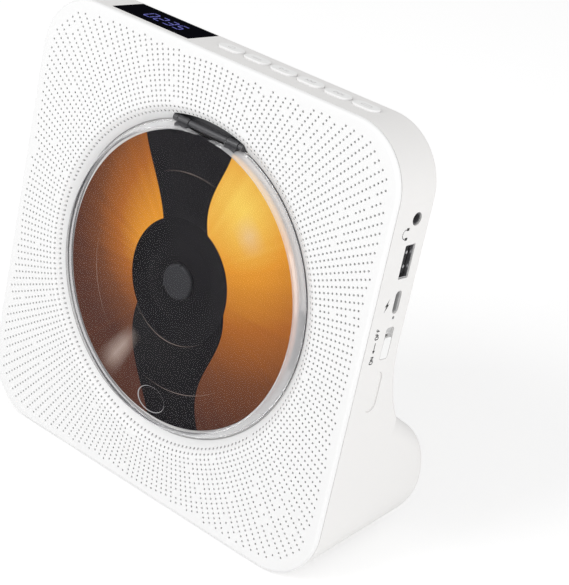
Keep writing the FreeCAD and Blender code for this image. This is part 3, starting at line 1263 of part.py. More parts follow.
def build():
    case = outer_case()
    parts = {
        "front_shell": front_shell(case), "rear_housing": rear_housing(case), "base_cover": base_cover(),
        "rubber_feet": rubber_feet(), "grille_cloth": grille_cloth(), "lid": lid(), "hinge_pin": hinge_pin(),
        "hinge_bracket": hinge_bracket(), "disc": disc(), "spindle_hub": spindle_hub(),
        "chuck_balls": chuck_balls(), "spindle_motor": spindle_motor(), "deck": deck(), "chassis": chassis(),
        "guide_rods": guide_rods(), "grommets": grommets(), "pickup": pickup(), "lens": lens(),
        "feed_gear": feed_gear(), "motor_pinion": motor_pinion(), "feed_motor": feed_motor(),
        "key_switches": key_switches(), "top_board": top_board(), "display_module": display_module(),
        "display_glass": display_glass(), "io_board": side_board(1), "main_board": side_board(-1),
        "main_chips": main_chips(), "audio_jack": audio_jack(), "usb_shell": usb_shell(),
        "usb_tongue": usb_tongue(), "usb_c_socket": usb_c_socket(), "light_pipe": light_pipe(),
        "power_slider": power_slider(), "power_switch": power_switch(), "battery": battery(),
        "case_screws": case_screws(),
        "mechanism_screws": mechanism_screws(),
        "speaker_screws": speaker_screws(),
        "board_screws": board_screws(), "base_screws": base_screws(),
    }
    for number in range(KEY_COUNT):
        parts["key_%d" % (number + 1)] = key(number)
    for x, z in speaker_spots():
        side = "left" if x < 0 else "right"
        for name, shape in speaker_parts(x, z).items():
            parts["%s_speaker_%s" % (side, name)] = shape
    return parts


def stand(parts):
    # Leans the player back and puts the middle of its footprint on the floor at the origin
    leaned = {}
    for name, shape in parts.items():
        copy = shape.copy()
        copy.rotate(Vector(0, 0, 0), Vector(1, 0, 0), -LEAN)
        leaned[name] = copy
    boxes = [leaned[name].optimalBoundingBox(False) for name in ("front_shell", "rear_housing", "lid")]
    middle_y = (min(b.YMin for b in boxes) + max(b.YMax for b in boxes)) / 2
    offset = Vector(0, -middle_y, BASE_DROP + PAD_PROUD)
    for shape in leaned.values():
        shape.translate(offset)
    print("offset of the disc's middle", offset)
    return leaned


os.makedirs("parts", exist_ok=True)
for node, solid in sorted(stand(build()).items()):
    print(node, len(solid.Solids), solid.isValid(), round(solid.Volume, 1))
    solid.exportStep("parts/%s.step" % node)
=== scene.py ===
import json
import math

import bmesh
import bpy
from mathutils import Matrix, Vector
from mathutils.geometry import delaunay_2d_cdt


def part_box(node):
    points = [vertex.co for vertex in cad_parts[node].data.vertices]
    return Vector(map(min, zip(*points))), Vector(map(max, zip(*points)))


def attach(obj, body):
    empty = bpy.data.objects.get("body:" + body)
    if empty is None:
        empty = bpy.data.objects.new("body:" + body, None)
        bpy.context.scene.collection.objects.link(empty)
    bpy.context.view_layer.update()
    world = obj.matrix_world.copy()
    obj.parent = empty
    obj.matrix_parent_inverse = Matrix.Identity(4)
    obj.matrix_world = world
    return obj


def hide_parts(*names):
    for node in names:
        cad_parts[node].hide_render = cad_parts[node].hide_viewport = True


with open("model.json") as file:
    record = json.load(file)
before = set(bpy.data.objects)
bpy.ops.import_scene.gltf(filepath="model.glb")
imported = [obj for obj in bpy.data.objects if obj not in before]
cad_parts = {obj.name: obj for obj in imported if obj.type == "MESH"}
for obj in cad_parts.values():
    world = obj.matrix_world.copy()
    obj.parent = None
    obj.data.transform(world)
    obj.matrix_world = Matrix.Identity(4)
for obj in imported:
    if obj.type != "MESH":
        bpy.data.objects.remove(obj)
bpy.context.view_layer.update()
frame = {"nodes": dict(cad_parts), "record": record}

# Sizes in millimetres: x to the right, y the depth behind the front face, z up the front
# face from the middle of the disc. PANEL leans them back and puts them in the frame.
MM = 0.001
LEAN = math.radians(9.0)
HALF = 93.0
CORNER = 25.0
SEAM = 2.0
SEAM_GROOVE = 0.35
FRONT_ROUND = 1.4
DISC_MIDDLE_DEPTH = 3.0
SLOPE_TOP = 69.5
SLOPE_BLEND = 1.5
THROAT = 64.3
THROAT_DEPTH = 4.2
RIM_END = 5.0
BACK_SLOPE_TOP = 71.4
PLATE_BACK = 2.0
POCKET_HALF = 18.6
POCKET_RADIUS = 66.6

# Holes of the front
HOLE_SPOKES = 200
HOLE_RADIUS = 0.49
HOLE_SIDES = 10
FIRST_RING = 67.325
RING_PITCH = 1.975
RING_COUNT = 25
HOLE_FIELD = 89.2
HOLE_FIELD_CORNER = 25.0


def panel_matrix():
    low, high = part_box("disc")
    middle = (Vector(low) + Vector(high)) / 2
    lean = Matrix.Rotation(-LEAN, 4, "X")
    shift = middle - lean @ Vector((0, DISC_MIDDLE_DEPTH * MM, 0))
    return Matrix.Translation(shift) @ lean


PANEL = panel_matrix()


def to_frame(point):
    return PANEL @ (Vector(point) * MM)


# Node tools


def new_material(name):
    made = bpy.data.materials.new(name)
    made.use_nodes = True
    made.node_tree.nodes.clear()
    return made, made.node_tree.nodes, made.node_tree.links


def add_node(tree, kind, x, y, values=None, **settings):
    node = tree.nodes.new(kind)
    node.location = (x, y)
    for key, value in settings.items():
        setattr(node, key, value)
    for key, value in (values or {}).items():
        node.inputs[key].default_value = value
    return node


def math_node(tree, operation, first, second=None, x=0, y=0, clamp=False):
    node = add_node(tree, "ShaderNodeMath", x, y, operation=operation, use_clamp=clamp)
    for place, value in enumerate((first, second)):
        if value is None:
            continue
        if isinstance(value, (int, float)):
            node.inputs[place].default_value = value
        else:
            tree.links.new(value, node.inputs[place])
    return node.outputs[0]


def group_tree(name, inputs, outputs):
    tree = bpy.data.node_groups.new(name, "ShaderNodeTree")
    for label, kind, value in inputs:
        socket = tree.interface.new_socket(label, in_out="INPUT", socket_type=kind)
        socket.default_value = value
    for label, kind in outputs:
        tree.interface.new_socket(label, in_out="OUTPUT", socket_type=kind)
    entry = add_node(tree, "NodeGroupInput", -900, 0)
    leave = add_node(tree, "NodeGroupOutput", 600, 0)
    return tree, entry, leave


def moulded_grain():
    # Fine moulded texture and a faint unevenness of tone, over the surface
    tree, entry, leave = group_tree(
        "moulded_grain",
        [("Grain Scale", "NodeSocketFloat", 2500.0), ("Tone", "NodeSocketColor", (1, 1, 1, 1)),
         ("Unevenness", "NodeSocketFloat", 0.02), ("Roughness", "NodeSocketFloat", 0.45)],
        [("Color", "NodeSocketColor"), ("Roughness", "NodeSocketFloat"), ("Height", "NodeSocketFloat")])
    place = add_node(tree, "ShaderNodeTexCoord", -900, -300)
    grain = add_node(tree, "ShaderNodeTexNoise", -600, -100, {"Detail": 2.0, "Roughness": 0.6})
    broad = add_node(tree, "ShaderNodeTexNoise", -600, -400, {"Scale": 28.0, "Detail": 3.0, "Roughness": 0.5})
    tree.links.new(place.outputs["Object"], grain.inputs["Vector"])
    tree.links.new(place.outputs["Object"], broad.inputs["Vector"])
    tree.links.new(entry.outputs["Grain Scale"], grain.inputs["Scale"])
    swing = math_node(tree, "SUBTRACT", broad.outputs["Fac"], 0.5, -350, -400)
    swing = math_node(tree, "MULTIPLY", swing, entry.outputs["Unevenness"], -200, -400)
    level = math_node(tree, "ADD", swing, 1.0, -50, -400)
    tone = add_node(tree, "ShaderNodeVectorMath", 150, 100, operation="SCALE")
    tree.links.new(entry.outputs["Tone"], tone.inputs[0])
    tree.links.new(level, tone.inputs["Scale"])
    rough_swing = math_node(tree, "MULTIPLY", swing, 3.0, 100, -250)
    rough = math_node(tree, "ADD", rough_swing, entry.outputs["Roughness"], 250, -250, clamp=True)
    tree.links.new(tone.outputs[0], leave.inputs["Color"])
    tree.links.new(rough, leave.inputs["Roughness"])
    tree.links.new(grain.outputs["Fac"], leave.inputs["Height"])
    return tree


GRAIN = moulded_grain()


def moulded_plastic(name, tone, roughness, grain_scale=2500.0, bump=0.06, unevenness=0.02, specular=0.5):
    made, nodes, links = new_material(name)
    tree = made.node_tree
    grain = add_node(tree, "ShaderNodeGroup", -500, 0, node_tree=GRAIN)
    grain.inputs["Grain Scale"].default_value = grain_scale
    grain.inputs["Tone"].default_value = (*tone, 1)
    grain.inputs["Unevenness"].default_value = unevenness
    grain.inputs["Roughness"].default_value = roughness
    relief = add_node(tree, "ShaderNodeBump", -250, -250, {"Strength": bump, "Distance": 0.0001})
    shader = add_node(tree, "ShaderNodeBsdfPrincipled", 0, 0, {"Specular IOR Level": specular})
    finish = add_node(tree, "ShaderNodeOutputMaterial", 300, 0)
    links.new(grain.outputs["Color"], shader.inputs["Base Color"])
    links.new(grain.outputs["Roughness"], shader.inputs["Roughness"])
    links.new(grain.outputs["Height"], relief.inputs["Height"])
    links.new(relief.outputs[0], shader.inputs["Normal"])
    links.new(shader.outputs[0], finish.inputs["Surface"])
    return made


def brushed_metal(name, tone, roughness, stretch=(1, 1, 30)):
    made, nodes, links = new_material(name)
    tree = made.node_tree
    place = add_node(tree, "ShaderNodeTexCoord", -900, 0)
    stretched = add_node(tree, "ShaderNodeMapping", -700, 0, {"Scale": stretch})
    streaks = add_node(tree, "ShaderNodeTexNoise", -500, 0, {"Scale": 220.0, "Detail": 4.0})
    links.new(place.outputs["Object"], stretched.inputs["Vector"])
    links.new(stretched.outputs[0], streaks.inputs["Vector"])
    spread = add_node(tree, "ShaderNodeMapRange", -250, -100,
                      {"To Min": roughness - 0.08, "To Max": roughness + 0.1})
    links.new(streaks.outputs["Fac"], spread.inputs["Value"])
    relief = add_node(tree, "ShaderNodeBump", -250, -350, {"Strength": 0.08, "Distance": 0.0001})
    links.new(streaks.outputs["Fac"], relief.inputs["Height"])
    shader = add_node(tree, "ShaderNodeBsdfPrincipled", 0, 0, {"Base Color": (*tone, 1), "Metallic": 1.0})
    finish = add_node(tree, "ShaderNodeOutputMaterial", 300, 0)
    links.new(spread.outputs[0], shader.inputs["Roughness"])
    links.new(relief.outputs[0], shader.inputs["Normal"])
    links.new(shader.outputs[0], finish.inputs["Surface"])
    return made


def clear_plastic(name, tone, shadow_tone, roughness=0.02, ior=1.49, clearness=1.0):
    # Clear plastic that lets the light through to what is behind it
    made, nodes, links = new_material(name)
    tree = made.node_tree
    place = add_node(tree, "ShaderNodeTexCoord", -900, -200)
    haze = add_node(tree, "ShaderNodeTexNoise", -700, -200, {"Scale": 60.0, "Detail": 3.0})
    links.new(place.outputs["Object"], haze.inputs["Vector"])
    spread = add_node(tree, "ShaderNodeMapRange", -500, -200, {"To Min": roughness * 0.6, "To Max": roughness * 1.6})
    links.new(haze.outputs["Fac"], spread.inputs["Value"])
    shader = add_node(tree, "ShaderNodeBsdfPrincipled", -200, 0,
                      {"Base Color": (*tone, 1), "IOR": ior, "Transmission Weight": clearness})
    links.new(spread.outputs[0], shader.inputs["Roughness"])
    pass_through = add_node(tree, "ShaderNodeBsdfTransparent", -200, -400, {"Color": (*shadow_tone, 1)})
    path = add_node(tree, "ShaderNodeLightPath", -200, 400)
    either = math_node(tree, "MAXIMUM", path.outputs["Is Shadow Ray"], path.outputs["Is Diffuse Ray"], 0, 300)
    blend = add_node(tree, "ShaderNodeMixShader", 150, 0)
    links.new(either, blend.inputs[0])
    links.new(shader.outputs[0], blend.inputs[1])
    links.new(pass_through.outputs[0], blend.inputs[2])
    finish = add_node(tree, "ShaderNodeOutputMaterial", 400, 0)
    links.new(blend.outputs[0], finish.inputs["Surface"])
    return made


def glowing(name, tone, strength):
    made, nodes, links = new_material(name)
    tree = made.node_tree
    place = add_node(tree, "ShaderNodeTexCoord", -700, 0)
    flicker = add_node(tree, "ShaderNodeTexNoise", -500, 0, {"Scale": 500.0})
    links.new(place.outputs["Object"], flicker.inputs["Vector"])
    ramp = add_node(tree, "ShaderNodeValToRGB", -300, 0)
    ramp.color_ramp.elements[0].color = (*[value * 0.8 for value in tone], 1)
    ramp.color_ramp.elements[1].color = (*tone, 1)
    links.new(flicker.outputs["Fac"], ramp.inputs["Fac"])
    shader = add_node(tree, "ShaderNodeBsdfPrincipled", 0, 0, {"Base Color": (0, 0, 0, 1), "Roughness": 0.4,
                                                              "Emission Strength": strength})
    links.new(ramp.outputs["Color"], shader.inputs["Emission Color"])
    finish = add_node(tree, "ShaderNodeOutputMaterial", 300, 0)
    links.new(shader.outputs[0], finish.inputs["Surface"])
    return made


# Mesh tools


def finish_piece(name, build, material, body, replaces=(), sharp=30.0, extras=()):
    # Turns a bmesh in millimetres of the panel into a piece of the frame
    for face in build.faces:
        middle = face.calc_center_median()
        for number, (_, picks) in enumerate(extras, 1):
            if picks(middle):
                face.material_index = number
    for vert in build.verts:
        vert.co = to_frame(vert.co)
    bmesh.ops.recalc_face_normals(build, faces=build.faces)
    data = bpy.data.meshes.new(name)
    build.to_mesh(data)
    build.free()
    data.shade_smooth()
    data.set_sharp_from_angle(angle=math.radians(sharp))
    piece = bpy.data.objects.new(name, data)
    bpy.context.scene.collection.objects.link(piece)
    data.materials.append(material)
    for extra, _ in extras:
        data.materials.append(extra)
    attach(piece, body)
    if replaces:
        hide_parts(*replaces)
    return piece


def strip(build, first, second):
    # Joins two closed loops of equally many corners with quads
    count = len(first)
    for here in range(count):
        there = (here + 1) % count
        corners = [first[here], first[there], second[there], second[here]]
        distinct = list(dict.fromkeys(corners))
        if len(distinct) > 2:
            build.faces.new(distinct)


def loop_of(build, points):
    return [build.verts.new(point) for point in points]


def lathe(build, profile, sides, middle=(0.0, 0.0)):
    # Turns (radius, depth) points about the depth axis; a radius of 0 makes a tip
    loops = []
    for radius, depth in profile:
        if radius == 0:
            tip = build.verts.new((middle[0], depth, middle[1]))
            loops.append([tip] * sides)
        else:
            angles = [2 * math.pi * number / sides for number in range(sides)]
            loops.append(loop_of(build, [(middle[0] + radius * math.cos(angle), depth,
                                          middle[1] + radius * math.sin(angle)) for angle in angles]))
    for first, second in zip(loops, loops[1:]):
        strip(build, first, second)
    return loops


# Front panel


def case_outline(inset, depth, corner_steps=14, side_steps=10):
    # The case's outline at a depth: the lower corners follow the floor, not the panel
    radius = CORNER - inset
    reach = HALF - CORNER
    low = -HALF * math.cos(LEAN)

    def upper(x, z):
        return x, z

    def lower(x, z):
        return x, (z + depth * math.sin(LEAN)) / math.cos(LEAN)

    corners = [(reach, HALF - CORNER, 0, upper), (-reach, HALF - CORNER, 90, upper),
               (-reach, low + CORNER, 180, lower), (reach, low + CORNER, 270, lower)]
    arcs = []
    for middle_x, middle_z, start, bend in corners:
        arc = []
        for step in range(corner_steps + 1):
            angle = math.radians(start + 90 * step / corner_steps)
            arc.append(bend(middle_x + radius * math.cos(angle), middle_z + radius * math.sin(angle)))
        arcs.append(arc)
    points = []
    for arc, following in zip(arcs, arcs[1:] + arcs[:1]):
        points += arc
        ahead = following[0]
        for step in range(1, side_steps):
            share = step / side_steps
            points.append((arc[-1][0] * (1 - share) + ahead[0] * share, arc[-1][1] * (1 - share) + ahead[1] * share))
    return points


def inside_hole_field(x, z):
    reach = HOLE_FIELD - HOLE_FIELD_CORNER
    over_x = max(abs(x) - reach, 0)
    over_z = max(abs(z) - reach, 0)
    return math.hypot(over_x, over_z) <= HOLE_FIELD_CORNER


def hole_middles():
    middles = []
    for ring in range(RING_COUNT):
        radius = FIRST_RING + RING_PITCH * ring
        for spoke in range(HOLE_SPOKES):
            angle = 2 * math.pi * spoke / HOLE_SPOKES
            x = radius * math.cos(angle)
            z = radius * math.sin(angle)
            if inside_hole_field(x, z):
                middles.append((x, z))
    return middles


def front_depth(x, z):
    # Flat, then a cone down to the throat, with a soft bend between
    radius = math.hypot(x, z)
    slope = THROAT_DEPTH / (SLOPE_TOP - THROAT)
    inward = SLOPE_TOP - radius
    if inward <= -SLOPE_BLEND:
        return 0.0
    if inward >= SLOPE_BLEND:
        return slope * inward
    return slope * (inward + SLOPE_BLEND) ** 2 / (4 * SLOPE_BLEND)


def back_depth(x, z):
    radius = math.hypot(x, z)
    slope = (RIM_END - PLATE_BACK) / (BACK_SLOPE_TOP - POCKET_RADIUS)
    return min(RIM_END, max(PLATE_BACK, PLATE_BACK + slope * (BACK_SLOPE_TOP - radius)))


def circle(radius, count, middle=(0.0, 0.0), turn=0.0):
    angles = [turn + 2 * math.pi * number / count for number in range(count)]
    return [(middle[0] + radius * math.cos(angle), middle[1] + radius * math.sin(angle)) for angle in angles]


def in_hinge_pocket(x, z):
    return abs(x) < POCKET_HALF and z > 0 and math.hypot(x, z) < POCKET_RADIUS


def sheet_with_holes(loops, open_lines, keep):
    # Fills the plane between closed loops, and keeps the triangles that keep() wants
    points = []
    edges = []
    for loop, closed in [(loop, True) for loop in loops] + [(line, False) for line in open_lines]:
        start = len(points)
        points += [Vector(point) for point in loop]
        count = len(loop)
        edges += [(start + number, start + (number + 1) % count) for number in range(count if closed else count - 1)]
    corners, _, triangles, sources, _, _ = delaunay_2d_cdt(points, edges, [], 0, 1e-5, True)
    kept = []
    for triangle in triangles:
        x = sum(corners[number][0] for number in triangle) / 3
        z = sum(corners[number][1] for number in triangle) / 3
        if keep(x, z):
            kept.append(triangle)
    place_of = {source: number for number, given in enumerate(sources) for source in given}
    return corners, kept, place_of


def hole_test(middles):
    # Tells whether a point lies in one of the holes, by its ring and spoke
    known = {(round(math.hypot(x, z), 2), round(math.degrees(math.atan2(z, x)) % 360, 2)) for x, z in middles}
    pitch = 360 / HOLE_SPOKES

    def test(x, z):
        radius = math.hypot(x, z)
        ring = round((radius - FIRST_RING) / RING_PITCH)
        spoke = round((math.degrees(math.atan2(z, x)) % 360) / pitch) % HOLE_SPOKES
        ring_radius = FIRST_RING + RING_PITCH * ring
        angle = spoke * pitch
        if (round(ring_radius, 2), round(angle, 2)) not in known:
            return False
        dx = x - ring_radius * math.cos(math.radians(angle))
        dz = z - ring_radius * math.sin(math.radians(angle))
        return math.hypot(dx, dz) < HOLE_RADIUS * 0.97

    return test


def perforated_front():
    middles = hole_middles()
    holes = [circle(HOLE_RADIUS, HOLE_SIDES, middle, math.atan2(middle[1], middle[0])) for middle in middles]
    edge = case_outline(FRONT_ROUND, 0.0)
    bends = [circle(SLOPE_TOP + SLOPE_BLEND * share, HOLE_SPOKES, turn=math.pi / HOLE_SPOKES)
             for share in (-1.0, -0.5, 0.0, 0.5, 1.0)]
    throat = circle(THROAT, HOLE_SPOKES * 2)
    pocket_top = math.asin(POCKET_HALF / POCKET_RADIUS)
    pocket = [(POCKET_RADIUS * math.sin(pocket_top * (step / 20 - 1)), POCKET_RADIUS * math.cos(pocket_top * (step / 20 - 1)))
              for step in range(41)]
    low = math.sqrt(THROAT ** 2 - POCKET_HALF ** 2) - 0.5
    pocket = [(-POCKET_HALF, low)] + pocket + [(POCKET_HALF, low)]
    in_hole = hole_test(middles)

    def keep(x, z):
        if math.hypot(x, z) < THROAT - 0.02 or in_hinge_pocket(x, z):
            return False
        return not in_hole(x, z)

    corners, triangles, place_of = sheet_with_holes([edge, throat] + bends + holes, [pocket], keep)
    build = bmesh.new()
    front = [build.verts.new((x, front_depth(x, z), z)) for x, z in corners]
    back = [build.verts.new((x, back_depth(x, z), z)) for x, z in corners]
    for a, b, c in triangles:
        build.faces.new((front[a], front[b], front[c]))
        build.faces.new((back[c], back[b], back[a]))
    outer = [place_of[number] for number in range(len(edge))]
    on_rim = set(outer)
    pairs = {}
    for a, b, c in triangles:
        for first, second in ((a, b), (b, c), (c, a)):
            key = (min(first, second), max(first, second))
            pairs[key] = pairs.get(key, 0) + 1
    for (first, second), uses in pairs.items():
        if uses == 1 and not (first in on_rim and second in on_rim):
            build.faces.new((front[first], front[second], back[second], back[first]))
    rounding = []
    for step in range(1, 7):
        angle = math.radians(90 * step / 6)
        depth = FRONT_ROUND * (1 - math.cos(angle))
        inset = FRONT_ROUND * (1 - math.sin(angle))
        rounding.append(loop_of(build, [(x, depth, z) for x, z in case_outline(inset, depth)]))
    for inset, depth in ((0.0, SEAM - SEAM_GROOVE), (SEAM_GROOVE, SEAM - SEAM_GROOVE), (SEAM_GROOVE, SEAM)):
        rounding.append(loop_of(build, [(x, depth, z) for x, z in case_outline(inset, depth)]))
    loops = [[front[number] for number in outer]] + rounding + [[back[number] for number in outer]]
    for first, second in zip(loops, loops[1:]):
        strip(build, first, second)
    loose = [vert for vert in build.verts if not vert.link_faces]
    bmesh.ops.delete(build, geom=loose, context="VERTS")
    return build


# Lid

LID_RADIUS = 63.6
LID_FACE = 61.3
LID_PROUD = 0.8
LID_WALL = 1.4
LID_BEVEL_DEPTH = 3.8
LID_END = 4.8
LID_CUT = 60.6
DIMPLE = (7.5, 5.3)
DIMPLE_DROP = 51.5
DIMPLE_DEPTH = 0.5
PIN_DEPTH = 3.2
PIN_HEIGHT = 62.4
LID_SIDES = 360


def lid_limit(angle):
    # How far out the lid reaches at an angle, with its flat cut at the hinge
    along = math.sin(angle)
    if along <= 0 or abs(math.cos(angle)) * LID_CUT / along > POCKET_HALF:
        return LID_RADIUS
    return min(LID_RADIUS, LID_CUT / along)


def lid_section(limit):
    # Points (radius, depth) from the face's edge round to the inside, out to a limit
    face = -LID_PROUD
    bevel_rate = (LID_BEVEL_DEPTH - face) / (LID_RADIUS - LID_FACE)
    inner_start = LID_FACE - LID_WALL + 0.46
    inner_rate = (LID_BEVEL_DEPTH - face - LID_WALL) / (LID_RADIUS - LID_WALL - inner_start)

    def outer_depth(radius):
        return face + max(0.0, radius - LID_FACE) * bevel_rate

    def inner_depth(radius):
        return min(LID_BEVEL_DEPTH, face + LID_WALL + max(0.0, radius - inner_start) * inner_rate)

    wall = min(limit, LID_RADIUS - LID_WALL)
    end = LID_END if limit > LID_RADIUS - LID_WALL + 0.01 else inner_depth(limit)
    inner_end = LID_END if limit > LID_RADIUS - LID_WALL + 0.01 else inner_depth(wall)
    edge = min(limit, LID_FACE)
    points = [(edge - 0.5, face), (edge - 0.15, face + 0.0)]
    points += [(min(limit, LID_FACE + 0.12), outer_depth(min(limit, LID_FACE + 0.12)))]
    points += [(limit, outer_depth(limit)), (limit, end - 0.12), (limit - 0.12, end), (wall + 0.05, inner_end)]
    points += [(wall, inner_depth(wall)), (min(limit, inner_start), face + LID_WALL)]
    return points


def clear_lid():
    build = bmesh.new()
    face = -LID_PROUD
    angles = [2 * math.pi * number / LID_SIDES for number in range(LID_SIDES)]
    middle = build.verts.new((0, face + DIMPLE_DEPTH, -DIMPLE_DROP))
    loops = [[middle] * LID_SIDES]
    for share, sink in ((0.5, 1.0), (0.86, 0.97), (0.92, 0.85), (0.96, 0.5), (0.985, 0.12), (1.0, 0.0), (1.06, 0.0)):
        loops.append(loop_of(build, [(DIMPLE[0] * share * math.cos(angle), face + DIMPLE_DEPTH * sink,
                                      DIMPLE[1] * share * math.sin(angle) - DIMPLE_DROP) for angle in angles]))
    sections = [lid_section(lid_limit(angle)) for angle in angles]
    for place in range(len(sections[0])):
        loops.append(loop_of(build, [(section[place][0] * math.cos(angle), section[place][1],
                                      section[place][0] * math.sin(angle)) for angle, section in zip(angles, sections)]))
    inside = build.verts.new((0, face + LID_WALL, 0))
    loops.append([inside] * LID_SIDES)
    for first, second in zip(loops, loops[1:]):
        strip(build, first, second)
    return build


def on_lid_rim(middle):
    return math.hypot(middle.x, middle.z) > LID_FACE - 0.6


def on_lid_edge(middle):
    return math.hypot(middle.x, middle.z) > LID_RADIUS - 0.08


def on_dimple_edge(middle):
    share = math.hypot(middle.x / DIMPLE[0], (middle.z + DIMPLE_DROP) / DIMPLE[1])
    return 0.955 < share < 0.995 and middle.y < LID_WALL - LID_PROUD - 0.3


def lid_arms():
    # Two clear hinge arms with rolled ends round the pin
    build = bmesh.new()
    for sign in (-1, 1):
        x0, x1 = sorted((sign * 10.2, sign * 15.8))
        sweep = []
        for step in range(21):
            angle = math.radians(-35 + 250 * step / 20)
            sweep.append((PIN_DEPTH + 1.6 * math.cos(angle), PIN_HEIGHT + 1.6 * math.sin(angle)))
        sweep += [(PIN_DEPTH - 2.7, LID_CUT + 0.15), (PIN_DEPTH - 2.6, LID_CUT - 1.2), (PIN_DEPTH - 1.2, LID_CUT - 0.6),
                  (PIN_DEPTH + 1.2, LID_CUT - 0.1)]
        rows = [loop_of(build, [(x, depth, z) for depth, z in sweep]) for x in (x0, x1)]
        strip(build, rows[0], rows[1])
        build.faces.new(rows[0])
        build.faces.new(list(reversed(rows[1])))
    return build


# Disc


def disc_print():
    # A printed disc: amber glow, a dark ribbon that waves down it, and a dark label, with painted highlights and
    # reflections over them
    made, nodes, links = new_material("printed_disc")
    tree = made.node_tree
    place = add_node(tree, "ShaderNodeTexCoord", -2600, 0)
    flat = add_node(tree, "ShaderNodeMapping", -2400, 0, vector_type="TEXTURE")
    flat.inputs["Location"].default_value = PANEL.translation
    flat.inputs["Rotation"].default_value = (-LEAN, 0, 0)
    flat.inputs["Scale"].default_value = (MM, MM, MM)
    links.new(place.outputs["Object"], flat.inputs["Vector"])
    split = add_node(tree, "ShaderNodeSeparateXYZ", -2200, 0)
    links.new(flat.outputs[0], split.inputs[0])
    across = split.outputs["X"]
    up = split.outputs["Z"]
    squares = math_node(tree, "ADD", math_node(tree, "MULTIPLY", across, across, -2000, 100),
                        math_node(tree, "MULTIPLY", up, up, -2000, -50), -1850, 50)
    radius = math_node(tree, "SQRT", squares, None, -1700, 50)
    angle = math_node(tree, "ARCTAN2", up, across, -1700, -150)

    def bump_at(x, z, reach, power=2.0, y=0):
        dx = math_node(tree, "SUBTRACT", across, x, -1500, y)
        dz = math_node(tree, "SUBTRACT", up, z, -1500, y - 60)
        away = math_node(tree, "SQRT", math_node(tree, "ADD", math_node(tree, "MULTIPLY", dx, dx, -1350, y),
                                                 math_node(tree, "MULTIPLY", dz, dz, -1350, y - 60), -1200, y), None,
                         -1100, y)
        near = math_node(tree, "SUBTRACT", 1.0, math_node(tree, "DIVIDE", away, reach, -1000, y), -900, y, clamp=True)
        return math_node(tree, "POWER", near, power, -800, y)

    def times(value, factor, y=0):
        return math_node(tree, "MULTIPLY", value, factor, -700, y)

    def plus(first, second, y=0):
        return math_node(tree, "ADD", first, second, -600, y)

    bright = bump_at(24.0, 40.0, 90.0, 1.1, 600)
    middle = bump_at(-22.0, 8.0, 44.0, 1.3, 900)
    amount = plus(times(bright, 0.95, 700), times(middle, 0.35, 800), 700)
    # Painted conic sheen: the amber turns lighter and darker in streaks round the middle, as light reflected along the
    # tracks
    painted_conic_sheen_noise = add_node(tree, "ShaderNodeTexNoise", -900, 1200, {"Scale": 3.0, "Detail": 4.0}, noise_dimensions="1D")
    links.new(math_node(tree, "MULTIPLY", angle, 4.0, -1100, 1200), painted_conic_sheen_noise.inputs["W"])
    painted_conic_sheen = times(math_node(tree, "SUBTRACT", painted_conic_sheen_noise.outputs["Fac"], 0.5, -700, 1200), 0.08, 1200)
    amount = plus(amount, painted_conic_sheen, 800)
    amber = add_node(tree, "ShaderNodeValToRGB", -250, 700)
    ramp = amber.color_ramp
    ramp.elements[0].position = 0.0
    ramp.elements[0].color = (0.09, 0.033, 0.022, 1)
    ramp.elements[1].position = 1.0
    ramp.elements[1].color = (1.0, 0.72, 0.14, 1)
    for position, colour in ((0.2, (0.18, 0.06, 0.024, 1)), (0.42, (0.42, 0.13, 0.022, 1)),
                             (0.66, (0.78, 0.31, 0.03, 1))):
        ramp.elements.new(position).color = colour
    links.new(amount, amber.inputs["Fac"])

    def step_mask(value, x=0, y=0):
        # 1 where value is over 0, with a soft edge of a tenth of a millimetre
        return math_node(tree, "MULTIPLY", math_node(tree, "ADD", value, 0.05, x, y), 10.0, x + 150, y, clamp=True)

    def wave(pitch, turn, rise, y):
        phase = math_node(tree, "ADD", times(up, pitch, y), turn, -500, y)
        return times(math_node(tree, "SINE", phase, None, -400, y), rise, y)

    def ribbon(side, half, pitch, turn, rise, y):
        # Inside one edge of the dark ribbon that waves down the disc
        edge = plus(plus(times(up, -0.16, y), wave(pitch, turn, rise, y), y), side * half, y)
        apart = math_node(tree, "SUBTRACT", edge, across, -300, y)
        return step_mask(times(apart, side, y), -200, y)

    def ring_mask(limit, y):
        return step_mask(math_node(tree, "SUBTRACT", limit, radius, -900, y), -750, y)

    def line_mask(limit, width, y):
        off = math_node(tree, "ABSOLUTE", math_node(tree, "SUBTRACT", radius, limit, -900, y), None, -800, y)
        return step_mask(math_node(tree, "SUBTRACT", width, off, -700, y), -600, y)

    def sector(middle_angle, reach, y):
        # 1 along a direction, fading to 0 at reach radians on both sides
        turned = math_node(tree, "SUBTRACT", angle, middle_angle, -900, y)
        wrapped = math_node(tree, "WRAP", turned, math.pi, -800, y)
        wrapped.node.inputs[2].default_value = -math.pi
        near = math_node(tree, "DIVIDE", math_node(tree, "ABSOLUTE", wrapped, None, -700, y), reach, -600, y)
        return math_node(tree, "SUBTRACT", 1.0, near, -500, y, clamp=True)

    def between(low, high, soft, y):
        rise = math_node(tree, "DIVIDE", math_node(tree, "SUBTRACT", radius, low, -900, y), soft, -800, y, clamp=True)
        fall = math_node(tree, "DIVIDE", math_node(tree, "SUBTRACT", high, radius, -900, y), soft, -800, y, clamp=True)
        return math_node(tree, "MULTIPLY", rise, fall, -700, y)

    def product(first, second, y):
        return math_node(tree, "MULTIPLY", first, second, -450, y)

    def larger(first, second, y):
        return math_node(tree, "MAXIMUM", first, second, -300, y)

